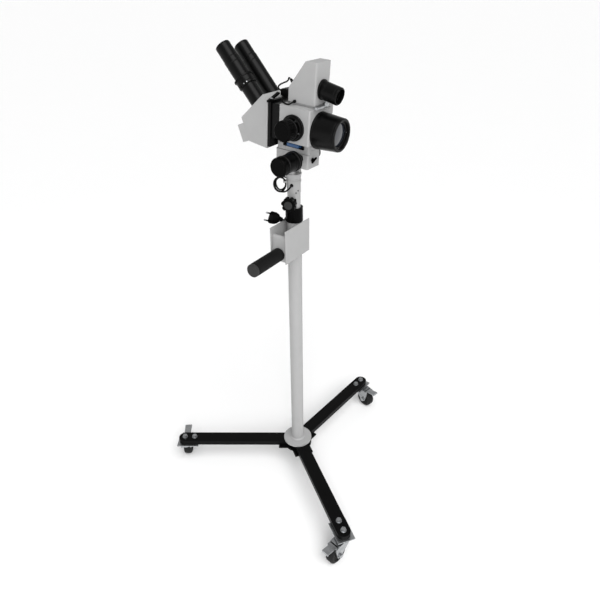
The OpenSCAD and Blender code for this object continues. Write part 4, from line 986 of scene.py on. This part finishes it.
@dataclass
class Plug:
    """The flat moulded plug with its two round pins and its ribbed tail."""

    shop: Workshop
    face: Point = (59.3, 34.2, -75.4)
    turn_deg: float = 39.0
    tilt_deg: float = 24.0
    half_w: float = 15.6
    half_t: float = 9.0
    pin_x: float = 9.5
    pin_l: float = 19.0
    sleeve_r: float = 2.0
    sleeve_l: float = 13.2
    outline_steps: int = 48
    outline_power: float = 0.72

    def outline(self, z: float, wide: float, thick: float) -> list[Point]:
        """Gives one oblong outline of the body, with round corners.

        Args:
            z: its height.
            wide: half its width.
            thick: half its thickness.

        Returns:
            Its points in order.
        """
        points = []
        for k in range(self.outline_steps):
            across, up = math.cos(math.tau * k / self.outline_steps), math.sin(math.tau * k / self.outline_steps)
            x = wide * math.copysign(abs(across) ** self.outline_power, across)
            y = thick * math.copysign(abs(up) ** self.outline_power, up)
            points.append((x, y, z))
        return points

    def shell(self) -> bmesh.types.BMesh:
        """Lofts the body from its ribbed tail to its rounded face.

        Returns:
            The body, its face at Z 0.
        """
        wide, thick = self.half_w, self.half_t
        return self.shop.loft([self.outline(*station) for station in (
            (-38.0, 3.4, 3.4), (-37.6, 5.4, 5.2), (-33.0, 6.4, 6.0), (-31.8, 5.6, 5.3), (-30.4, 6.6, 6.2),
            (-29.2, 5.8, 5.5), (-27.6, 7.6, 6.8), (-22.0, 12.4, 8.0), (-14.0, wide - 0.4, thick),
            (-3.0, wide, thick), (-0.9, wide - 0.3, thick - 0.3), (0.0, wide - 1.4, thick - 1.4),
        )])

    def build(self) -> bpy.types.Object:
        """Makes the plug, with its sleeved pins and their bright tips.

        Returns:
            The plug's body, which carries the tips.
        """
        shop, r, sleeve = self.shop, self.sleeve_r, self.sleeve_l
        place = CordRoute().place() @ shift(*self.face) @ turn(self.turn_deg, "Z") @ turn(90 - self.tilt_deg, "Y")
        sides = [shift(x, 0, 0) for x in (-self.pin_x, self.pin_x)]
        pins = [(shop.lathe([(0, -3), (r, -3), (r, sleeve), (0, sleeve)], steps=24), side) for side in sides]
        obj = shop.stand_in("plug_body", shop.merged([(self.shell(), UNMOVED)] + pins), place, "mains_plug")
        tip = [(0, 13), (r - 0.05, 13), (r - 0.05, self.pin_l - 1.6), (1.2, self.pin_l), (0, self.pin_l)]
        tips = [(shop.lathe(tip, 0.4, steps=24), side) for side in sides]
        bright = shop.settle("plug_pin_tips", shop.merged(tips), place, "neck", Slot.ZINC)
        bright.parent = obj
        return obj


@dataclass
class Cords:
    """The mains cord and the two short leads behind the lamp."""

    shop: Workshop
    route: CordRoute = field(default_factory=CordRoute)
    mains_d: float = 0.004
    lead_d: float = 0.0035
    lamp_points: tuple[Point, ...] = (
        (-24.2, 0.7, 163.7), (-24.2, 2.1, 164.6), (-22.4, 5.2, 163.8), (-17, 10, 158.5), (-11, 19, 152.5),
        (-8, 29, 148), (-8, 38, 143), (-9.5, 42, 138.5), (-11, 40, 134.5), (-11.5, 34.5, 132), (-11.5, 31.5, 131.5),
    )
    side_points: tuple[Point, ...] = (
        (-18.5, 21, 121.2), (-21, 20.9, 121), (-25, 19.5, 117), (-33, 12, 113.6), (-40, 1.5, 113.5),
        (-43.5, -7, 113.5), (-42.5, -14.5, 115), (-38.5, -18.7, 119), (-34.5, -19, 119.5),
    )

    def mains(self) -> None:
        """Makes the cord from the neck's hole through its hank to the plug."""
        points = self.route.points()
        tie = self.shop.soften("cord_tie", 0.25, Slot.WHITE_ENAMEL)
        plug = Plug(self.shop).build()
        obj = tube_curve("mains_cord", points, self.mains_d / 2)
        self.shop.hand_over(obj, "neck", Slot.CORD_RUBBER, ("cord_hank", "cord_run"))
        LOG.info("mains cord %.3f m", line_length(points))

    def lead(self, name: str, node: str, line: tuple[Point, ...]) -> None:
        """Makes one short lead that goes back into the object.

        Args:
            name: the piece's name.
            node: the solid that it stands for.
            line: its points in the head's directions, in millimetres.
        """
        place = LAYOUT.head()
        points = [place @ (p * MM) for p in self.route.smooth(line)]
        obj = tube_curve(name, points, self.lead_d / 2)
        self.shop.hand_over(obj, BODY_OF[node], SLOT_OF[node], (node,))
        LOG.info("%s %.3f m", name, line_length(points))

    def build(self) -> None:
        """Makes the cords."""
        self.mains()
        self.lead("lamp_lead_wire", "lamp_lead", self.lamp_points)
        self.lead("side_lead_wire", "side_lead", self.side_points)


@dataclass
class Tubes:
    """The two eyepiece tubes and the diopter ring."""

    shop: Workshop
    spacing: float = 62.0
    length: float = 149.0
    diopter_out: float = 5.0
    eyepiece_l: float = 38.0
    eye_r: float = 18.6
    body_r: float = 19.4
    lower_r: float = 18.8
    root_r: float = 10.9
    lens_depth: float = 11.9
    ring_start: float = 45.0
    ring_l: float = 18.0
    ring_r: float = 22.0
    flange_r: float = 24.4
    flange_t: float = 4.0
    ring_gap: float = 0.3

    def tube(self, name: str, x: float, lower_r: float, step: float, length: float, node: str) -> None:
        """Turns one tube with its eyepiece and eye lens.

        Args:
            name: the piece's name.
            x: how far the tube stands to the side.
            lower_r: its radius below the step.
            step: how far up the step is.
            length: its length from the slope.
            node: the solid that it stands for.
        """
        shop, place = self.shop, LAYOUT.tube_axis(x)
        r, eye, root = self.body_r, self.eye_r, self.root_r
        top, floor = length - self.eyepiece_l, length - self.lens_depth
        tube = shop.lathe([
            (0, -4.9), (root, -4.9), (root, 0.3), (lower_r, 0.3), (lower_r, step), (r, step),
            *groove(r, top - 14, 0.5, 0.8), (r, top), (eye - 0.7, top + 0.4), (eye - 0.7, top + 2.0),
            (eye, top + 2.6), (eye, length - 3.4), (eye - 0.5, length - 2.8), (eye - 0.5, length - 2.4),
            (eye - 0.1, length - 1.8), (eye - 1.6, length), (14.4, length), (13.2, length - 3.2), (12.4, floor),
            (11.2, floor + 0.3), (root, floor), (0, floor),
        ], 0.6)
        shop.stand_in(name, tube, place, node)
        glass = [(10.8, floor - 0.3), (10.8, floor + 0.5), (7.5, floor + 1.2), (3.5, floor + 1.6), (0, floor + 1.7)]
        shop.settle(name + "_eye_lens", shop.lathe(glass, 1.2, steps=48), place, BODY_OF[node], Slot.LENS)

    def diopter(self) -> None:
        """Turns the diopter ring, its knurl, its stop tab and its set screws."""
        shop, body, place = self.shop, "diopter", LAYOUT.tube_axis(-self.spacing / 2)
        r, start = self.ring_r, self.ring_start
        bore, rim, top, end = self.lower_r + 0.06, self.flange_r - 0.9, start + self.ring_l, self.ring_end - 0.1
        ring = shop.lathe([
            (bore, start), (r - 0.6, start), (r, start + 1), *groove(r, start + 5.4, 0.5, 0.4), (r, top),
            (rim, top + 0.1), (rim, end), (bore, end),
        ], 0.4, 2, closed=True)
        shop.stand_in("diopter_sleeve", ring, place, "diopter_ring")
        rib = shop.block((2.0, 1.7, self.flange_t - 0.2), (self.flange_r - 1.0, 0, top + self.flange_t / 2), 0.5)
        shop.repeat("diopter_knurl", rib, 36, place, body, Slot.BLACK_ANODISED)
        tab = shop.block((4.2, 5.0, 5.0), (r + 0.6, 0, start + 3.4), 0.8)
        shop.settle("diopter_tab", tab, place @ turn(168, "Z"), body, Slot.BLACK_ANODISED)
        pin = shop.screw(3.0, 0.9, 1.4)
        pin.transform(shift(r - 0.1, 0, start + 3.4) @ turn(90, "Y"))
        shop.repeat("diopter_set_screws", pin, 2, place @ turn(-158, "Z"), body, Slot.ZINC, turn_deg=20.0)

    @property
    def ring_end(self) -> float:
        """Gives how far up the diopter ring ends."""
        return self.ring_start + self.ring_l + self.flange_t

    def build(self) -> None:
        """Makes both tubes and the ring."""
        half, near_l, near_step = self.spacing / 2, self.length + self.diopter_out, self.ring_end + self.ring_gap
        self.tube("near_eye_tube", -half, self.lower_r, near_step, near_l, "tube_near")
        self.tube("far_eye_tube", half, self.body_r, 8.0, self.length, "tube_far")
        self.diopter()


@dataclass
class Objective:
    """The objective barrel with its inner rings and coated front lens."""

    shop: Workshop
    length: float = 60.0
    root_r: float = 42.0
    front_r: float = 37.5
    bore_r: float = 31.0
    cell_r: float = 29.0
    throat_r: float = 26.0
    seat_r: float = 19.9
    spigot_r: float = 22.9
    lens_r: float = 28.6
    lens_edge: float = 11.4
    lens_rise: float = 4.4
    lens_t: float = 5.2

    def build(self) -> None:
        """Turns the barrel, the retaining ring and the front lens."""
        shop, place, end = self.shop, LAYOUT.optic_axis(), self.length
        root, front, bore, cell, throat = self.root_r, self.front_r, self.bore_r, self.cell_r, self.throat_r
        seat, spigot = self.seat_r, self.spigot_r
        slope = (root - front) / (end - 2)
        barrel = shop.lathe([
            (seat, -3.9), (spigot, -3.9), (spigot, 0.05), (root, 0.05), (root - 1.2 * slope, 1.2),
            (root - 3.4 * slope, 3.4), (root - 0.5 - 3.8 * slope, 3.8), (root - 0.5 - 4.8 * slope, 4.8),
            (root - 5.2 * slope, 5.2), (front + 0.35, end - 7.0), (front - 0.35, end - 6.6),
            (front - 0.35, end - 5.9), (front + 0.2, end - 5.5), (front, end - 1.6), (front - 1.7, end),
            (bore + 1.0, end), (bore, end - 1.0), (bore, end - 2.6), (bore - 0.4, end - 2.8), (bore, end - 3.2),
            (bore - 0.4, end - 3.6), (bore, end - 4.0), (bore, end - 9), (cell, end - 9), (cell, end - 17),
            (throat, end - 17), (throat, 4.0), (seat, 4.0),
        ], 0.8, closed=True)
        screw = shop.lathe([(0, -1), (3.5, -1), (3.5, 4.6), (2.6, 5.6), (0, 5.6)], 0.6, 2, 24)
        low = turn(-40, "Z") @ shift(front - 1.0, 0, end - 7.0) @ turn(90, "Y")
        shop.stand_in("objective_housing", shop.merged([(barrel, UNMOVED), (screw, low)]), place, "objective_barrel")
        ring = shop.lathe([
            (bore - 0.3, end - 8.9), (bore - 0.3, end - 6.4), (bore - 1.4, end - 6.4), (bore - 4.6, end - 7.4),
            (bore - 4.8, end - 7.8), (bore - 3.4, end - 8.9),
        ], 0.3, 2, closed=True)
        shop.settle("objective_retaining_ring", ring, place, "optical_head", Slot.BLACK_ANODISED)
        dog = shop.block((1.0, 2.4, 0.5), (bore - 0.85, 0, end - 6.35), 0.15)
        shop.repeat("retaining_ring_dogs", dog, 4, place, "optical_head", Slot.ZINC)
        edge = end - self.lens_edge
        arc = [math.radians(angle) for angle in range(0, 90, 10)]
        dome = [(self.lens_r * math.cos(a), edge + self.lens_rise * math.sin(a)) for a in arc]
        back = edge - self.lens_t
        lens = shop.lathe([(0, back), (self.lens_r, back), *dome, (0, edge + self.lens_rise)])
        shop.stand_in("objective_front_lens", lens, place, "front_lenses")


@dataclass
class SideKnobs:
    """The magnification flange and knob, and both focusing knobs."""

    shop: Workshop
    flange_r: float = 29.4
    flange_t: float = 9.0
    mag_start: float = 9.3
    mag_r: float = 22.5
    mag_l: float = 34.0
    mag_ribs: int = 28
    focus_steps: tuple[float, ...] = (26.8, 48.3, 60.8, 93.8, 114.8)
    focus_r: float = 23.0
    waist_r: float = 21.4
    tip_r: float = 22.5
    focus_ribs: int = 48
    far_start: float = -29.8
    far_r: float = 14.6
    far_l: float = 13.0
    far_ribs: int = 30

    def magnification(self) -> None:
        """Turns the flange with its screws and the fluted knob."""
        shop, place, rim, top = self.shop, LAYOUT.mag_axis(), self.flange_r, self.flange_t
        flange = shop.lathe([
            (5.1, 0), (rim, 0), (rim, 4.0), (rim - 1.0, 5.0), (rim - 3.8, 5.0), (rim - 4.0, top - 0.8),
            (rim - 4.8, top), (5.1, top),
        ], 0.5, closed=True)
        shop.stand_in("magnification_flange", flange, place, "mag_flange")
        head = shop.screw(4.2, 0.9, 2.0)
        head.transform(shift(21.6, 0, top))
        shop.repeat("flange_screws", head, 4, place @ turn(-31, "Z"), "optical_head", Slot.ZINC, turn_deg=-77.0)
        r, start, end = self.mag_r, self.mag_start, self.mag_start + self.mag_l
        knob = shop.lathe([
            (0, -4), (5, -4), (5, start), (r - 4.1, start), (r - 3.3, start + 0.8), (r - 3.3, start + 7.0),
            (r - 1.1, start + 7.8), (r - 1.1, start + 8.8), (r, start + 9.4), (r, end - 1.8), (r - 1.5, end - 0.1),
            (r - 4.9, end), (r - 5.3, end - 0.5), (0, end - 0.5),
        ], 0.7)
        shop.stand_in("magnification_knob_core", knob, place, "mag_knob")
        # painted highlight: a grey plastic band on the knob's rear edge stands in for the light that this edge catches
        painted_highlight_band = shop.band(r - 0.3, r + 0.9, start + 8.6, start + 10.0, 0.25)
        shop.settle("magnification_knob_painted_highlight", painted_highlight_band, place, "magnification", Slot.CAP_PLASTIC)
        rib = shop.block((2.2, 2.3, 22.4), (r - 0.2, 0, start + 21.0), 0.7)
        shop.repeat("magnification_knob_ribs", rib, self.mag_ribs, place, "magnification", Slot.BLACK_PLASTIC)

    def focusing(self) -> None:
        """Turns the large stepped knob and the small far knob."""
        shop, place, body = self.shop, LAYOUT.focus_axis(), "focus_drive"
        near, knob, ring, mid, end = self.focus_steps
        r, waist, tip = self.focus_r, self.waist_r, self.tip_r
        core = shop.lathe([
            (4.0, near), (9.5, near), (9.5, knob - 2.4), (11.5, knob), (r - 1.4, knob), (r, knob + 1.4),
            *groove(r, knob + 2.6, 0.6, 0.4, ring - knob - 5.4), (r, ring - 1.0), (r - 1.0, ring),
            (waist, ring + 0.4), *groove(waist, ring + 10, 0.6, 0.6, 1.0), (waist, mid - 1.2), (waist - 1.0, mid - 0.4),
            (waist - 1.0, mid + 0.8), (tip, mid + 1.6), (tip, mid + 3.4), (tip - 0.5, mid + 4.0),
            (tip - 0.5, end - 2.0), (tip - 1.9, end), (tip - 5.5, end), (tip - 5.9, end - 0.5), (0, end - 0.5),
            (0, ring), (4.0, ring),
        ], 0.6, closed=True)
        shop.stand_in("focus_knob_core", core, place, "focus_knob")
        # painted highlights: grey plastic bands on three step edges stand in for the bright arcs of light on those
        # edges
        edges = ((tip + 0.2, mid + 2.0), (r + 0.15, ring - 1.9), (r + 0.15, knob + 1.6))
        painted_highlight_bands = shop.merged([(shop.band(edge - 1, edge, z, z + 1.3, 0.2), UNMOVED) for edge, z in edges])
        shop.settle("focus_knob_painted_highlights", painted_highlight_bands, place, body, Slot.CAP_PLASTIC)
        for name, size, out, z in (
            ("focus_knob_knurl", (1.1, 1.3, 6.4), r - 0.5, knob + 6.6),
            ("focus_knob_grip", (1.0, 1.2, 14.6), tip - 0.6, mid + 11.4),
        ):
            rib = shop.block(size, (out, 0, z), 0.35)
            shop.repeat(name, rib, self.focus_ribs, place, body, Slot.BLACK_PLASTIC)
        r, start, end = self.far_r, self.far_start, self.far_start - self.far_l
        core = shop.lathe([
            (0, end), (r - 1.4, end), (r, end + 1.2), (r, start - 1.2), (r - 1.2, start), (9.5, start), (9.5, -near),
            (4.0, -near), (4.0, start - 6), (0, start - 6),
        ], 0.6, steps=72)
        shop.stand_in("tension_knob_core", core, place, "tension_knob")
        rib = shop.block((1.0, 1.3, 10.4), (r - 0.1, 0, (start + end) / 2), 0.35)
        shop.repeat("tension_knob_grip", rib, self.far_ribs, place, body, Slot.BLACK_PLASTIC)

    def build(self) -> None:
        """Makes all the knobs."""
        self.magnification()
        self.focusing()


@dataclass
class HeadShell:
    """The painted housings, the lamp and what is screwed to them."""

    shop: Workshop
    lamp_tube_l: float = 46.5
    lamp_r: float = 19.7
    lamp_bore_r: float = 16.5
    lamp_seat_r: float = 14.5
    cover_w: float = 100.0
    cover_t: float = 22.0
    cover_span: float = 42.0
    cover_foot: Point = (0.0, 96.0, 11.0)
    cover_slope: tuple[float, float] = (22.0, 51.5)
    cover_screw_x: float = 40.8
    foot_screw_x: float = 17.0
    lock_screw: Point = (-46.0, 34.0, 118.4)
    vents_middle: Point = (0.0, -19.2, 174.6)
    vents_slope: tuple[float, float] = (43.2, 61.3)
    vent_count: int = 7
    vent_step: float = 4.6
    slide_y: float = -20.0
    slide_z: float = 20.05

    def housings(self) -> None:
        """Softens the castings and plates, and makes the blue slider with its tongue, stem and plate."""
        shop, y, z = self.shop, self.slide_y, self.slide_z
        shop.soften_all({
            "main_body": 2.0, "prism_housing": 1.4, "lamp_housing": 1.8, "focus_slide": 1.0, "interface_plate": 0.8,
            "lamp_connector": 1.0, "head_lock": 0.8, "filter_frame": 0.5, "focus_base": 1.0, "lock_lever": 0.7,
            "filter_lever": 0.6,
        })
        tongue = shop.block((27.0, 34.0, 5.6), (-12.5, y, z), 0.6)
        plate = shop.block((3.6, 33.0, 8.2), (-32.2, y, 21.0), 1.2)
        stem = shop.block((10.0, 26.0, 4.4), (-28.0, y, z), 0.5)
        whole = shop.merged([(piece, UNMOVED) for piece in (tongue, plate, stem)])
        shop.stand_in("blue_filter_slide", whole, LAYOUT.head(), "blue_filter")

    def lamp(self) -> None:
        """Turns the lamp tube with its flange, inner rings and glass."""
        shop, axis, end = self.shop, LAYOUT.lamp_axis(), self.lamp_tube_l
        r, bore, seat = self.lamp_r, self.lamp_bore_r, self.lamp_seat_r
        tube = shop.lathe([
            (bore, 3), (r, 3), *groove(r, 12, 0.4, 0.4), *groove(r, end - 8.4, 0.4, 0.4), (r, end - 1.8),
            (r - 1.5, end), (r - 2.5, end), (bore, end - 0.9), (bore, end - 2.4), (bore - 0.4, end - 2.7),
            (bore, end - 3.0), (bore, end - 11), (seat, end - 11), (seat, 3),
        ], 0.5, closed=True)
        flange = shop.lathe([(seat, 0.02), (21.9, 0.02), (21.9, 3.2), (21.1, 4.0), (seat, 4.0)], 0.5, closed=True)
        straight = LAYOUT.head(0, LAYOUT.lamp_front, LAYOUT.lamp_axis_z) @ turn(90, "X")
        root = shop.lathe([(seat, -3.5), (r, -3.5), (r, 6.0), (seat, 6.0)], closed=True)
        whole = shop.merged([(tube, axis), (flange, straight), (root, axis @ shift(0, 0, 1.0))])
        shop.stand_in("lamp_barrel", whole, UNMOVED, "lamp_tube")
        glass = shop.lathe([(0, 22.5), (14.4, 22.5), (14.4, 26.0), (9.0, 27.2), (0, 27.6)], 1.5, 4, 72)
        shop.settle("lamp_lens", glass, axis, "optical_head", Slot.LENS)

    def fasteners(self) -> None:
        """Makes the rear cover, the small screws and the lamp's vents."""
        shop, head, span = self.shop, "optical_head", self.cover_span
        cover = LAYOUT.head(*self.cover_foot) @ turn(-math.degrees(math.atan2(*self.cover_slope)), "X")
        slab = shop.block((self.cover_w, self.cover_t, span), (0, self.cover_t / 2 - 2.0, span / 2), 1.4)
        shop.stand_in("prism_cover_slab", slab, cover, "prism_cover", Slot.WHITE_ENAMEL)
        for side, x in (("near", -self.cover_screw_x), ("far", self.cover_screw_x)):
            screw = shop.screw(5.4, 1.5, 2.8)
            screw.transform(shift(x, self.cover_t - 2.0, 9.0) @ turn(-90, "X"))
            shop.repeat("cover_screws_" + side, screw, 2, cover, head, Slot.ZINC, 0.0, (0, 0, span - 16.0))
        for side, x in (("near", -self.foot_screw_x), ("far", self.foot_screw_x)):
            place = LAYOUT.head(x, -60.0, 24.0) @ turn(90, "X")
            shop.settle("slide_screws_" + side, shop.screw(4.4, 1.2, 2.4), place, head, Slot.HEAD_ENAMEL)
        shop.settle("lock_pivot_screw", shop.screw(8.6, 2.6), LAYOUT.head(*self.lock_screw), head, Slot.ZINC)
        vent = shop.block((34.0, 0.8, 1.8), (0, 0, -14.0), 0.35)
        place = LAYOUT.head(*self.vents_middle) @ turn(math.degrees(math.atan2(*self.vents_slope)), "X")
        shop.repeat("lamp_vents", vent, self.vent_count, place, head, Slot.BLACK_ANODISED, 0.0, (0, 0, self.vent_step))

    def build(self) -> None:
        """Makes the head's shells, the lamp and the screws."""
        self.housings()
        self.lamp()
        self.fasteners()


@dataclass
class NeckSet:
    """The neck, its sleeve and the turning post."""

    shop: Workshop
    sleeve_r: float = 17.6
    rim_z: float = 944.75

    def build(self) -> None:
        """Softens the tubes and adds the sleeve's screws and lower rim."""
        shop, r = self.shop, self.sleeve_r
        shop.soften_all({"neck_tube": 0.4, "neck_sleeve": 0.3, "swivel_post": 0.6})
        for name, angle, height in (("sleeve_screw_upper", 251.0, 951.6), ("sleeve_screw_lower", 232.0, 946.8)):
            place = turn(angle, "Z") @ shift(r, 0, height) @ turn(90, "Y")
            shop.settle(name, shop.screw(3.4, 0.7, 1.9), place, "neck", Slot.CAP_PLASTIC)
        rim = shop.band(r - 0.7, r + 0.15, 0, 0.8, 0.2)
        shop.settle("sleeve_lower_rim", rim, shift(0, 0, self.rim_z), "neck", Slot.WHITE_ENAMEL)


@dataclass
class Clamp:
    """The collar, the star knob with its grey cap, the bracket and the handle."""

    shop: Workshop
    lug_top: float = 8.0
    star_back: float = 31.6
    star_t: float = 13.0
    star_lobes: int = 7
    star_steps: int = 168
    lobe_out: float = 12.8
    lobe_r: float = 6.2
    stud_r: float = 4.1
    hub_r: float = 9.0
    badge_r: float = 10.4
    grip_l: float = 114.0
    grip_r: float = 17.3
    cap_t: float = 10.0

    def star(self) -> None:
        """Makes the star knob with its rounded lobes, its hub and its cap."""
        shop, half, back = self.shop, math.pi / self.star_lobes, self.star_back
        outline = []
        for k in range(self.star_steps):
            a = math.tau * k / self.star_steps
            off = (a + half) % (2 * half) - half
            r = self.lobe_out * math.cos(off) + math.sqrt(self.lobe_r**2 - (self.lobe_out * math.sin(off)) ** 2)
            outline.append((r * math.cos(a), r * math.sin(a)))
        front = back + self.star_t
        lobes = shop.loft([[(x, y, z) for x, y in outline] for z in (back, front)])
        stud, hub_r, badge = self.stud_r, self.hub_r, self.badge_r
        hub = [(stud, back - 4.0), (hub_r, back - 4.0), (hub_r, back + 0.4), (stud, back + 0.4)]
        whole = shop.merged([(lobes, UNMOVED), (shop.lathe(hub, 0.6, steps=48, closed=True), UNMOVED)])
        shop.stand_in("star_knob_body", whole, LAYOUT.clamp(), "clamp_knob", bevel=1.5)
        cap = [(0, front), (badge, front), (badge, front + 1.9), (badge - 0.8, front + 2.4), (0, front + 2.6)]
        shop.settle("star_knob_cap", shop.lathe(cap, 0.5, steps=64), LAYOUT.clamp(), "clamp_screw", Slot.CAP_PLASTIC)

    def handle(self) -> None:
        """Turns the handle's rubber sleeve and its end cap."""
        shop, place, r, total = self.shop, LAYOUT.handle(), self.grip_r, self.grip_l
        end = total - self.cap_t
        grip = shop.lathe([
            (8, 0.05), (13.6, 0.05), (15.6, 0.9), (r, 3.0), (r, end - 2.4), (r - 0.4, end - 0.6), (r - 1.4, end),
            (8, end),
        ], 1.0, 4, closed=True)
        shop.stand_in("handle_sleeve", grip, place, "handle_grip")
        cap = shop.lathe([
            (0, end), (r - 1.4, end), (r - 1.2, end + 0.6), (r - 0.3, end + 1.4), (r - 0.3, total - 2.6),
            (r - 2.6, total - 0.2), (10, total), (9.4, total - 0.3), (0, total - 0.3),
        ], 1.2, 4)
        shop.stand_in("handle_end", cap, place, "handle_cap")

    def build(self) -> None:
        """Makes the clamp, the bracket and the handle."""
        self.shop.soften("clamp_collar", 0.8, top=LAYOUT.knob_z + self.lug_top)
        self.star()
        self.shop.soften_all({"bracket_plates": 0.9, "bracket_web": 0.7})
        self.handle()


@dataclass
class Base:
    """The hub, legs, casters and the column."""

    shop: Workshop
    wheel_r: float = 31.0
    trail: float = 30.0
    race_r: float = 20.6
    race_z: float = 71.6

    def caster(self, index: int, side: str) -> None:
        """Softens one caster's fork, pedal and wheel, and adds the wheel's spokes and the bearing's dimples.

        Args:
            index: which caster it is.
            side: its name in the part.
        """
        shop, swivel = self.shop, LAYOUT.caster(index)
        shop.soften_all({"fork_" + side: 0.5, "brake_" + side: 0.4, "wheel_" + side: 0.5})
        axle = swivel @ shift(self.trail, 0, self.wheel_r) @ turn(90, "X")
        spoke = shop.block((7.6, 1.6, 19.4), (14.2, 0, 0), 0.5)
        shop.repeat("wheel_spokes_" + side, spoke, 8, axle, "roller_" + side, Slot.TYRE)
        dimple = shop.lathe([(0, -1.4), (1.4, -1.0), (1.4, 1.0), (0, 1.4)], 0.5, 2, 12)
        dimple.transform(shift(self.race_r, 0, 0))
        shop.repeat("race_dimples_" + side, dimple, 16, swivel @ shift(0, 0, self.race_z), "stand", Slot.ZINC)

    def build(self) -> None:
        """Makes the welded frame and the casters."""
        self.shop.soften_all({
            "column_tube": 0.4, "hub_disc": 0.8, "hub_lower_plate": 0.8, "leg_left": 1.2, "leg_front": 1.2,
            "leg_rear": 1.2, "caster_plates": 0.5, "base_bolts": 0.5,
        })
        for index, side in enumerate(("left", "front", "rear")):
            self.caster(index, side)


def main() -> None:
    """Builds the scene in order."""
    logging.basicConfig(level=logging.INFO)
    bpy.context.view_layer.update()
    wardrobe = Wardrobe()
    Studio().build()
    shop = Workshop(wardrobe)
    Cords(shop).build()
    wardrobe.dress_frame()
    for assembly in (
        Base(shop), Clamp(shop), NeckSet(shop), HeadShell(shop), SideKnobs(shop), Objective(shop), Tubes(shop)
    ):
        assembly.build()
        LOG.info("%s done", type(assembly).__name__)


if __name__ == "__main__":
    main()
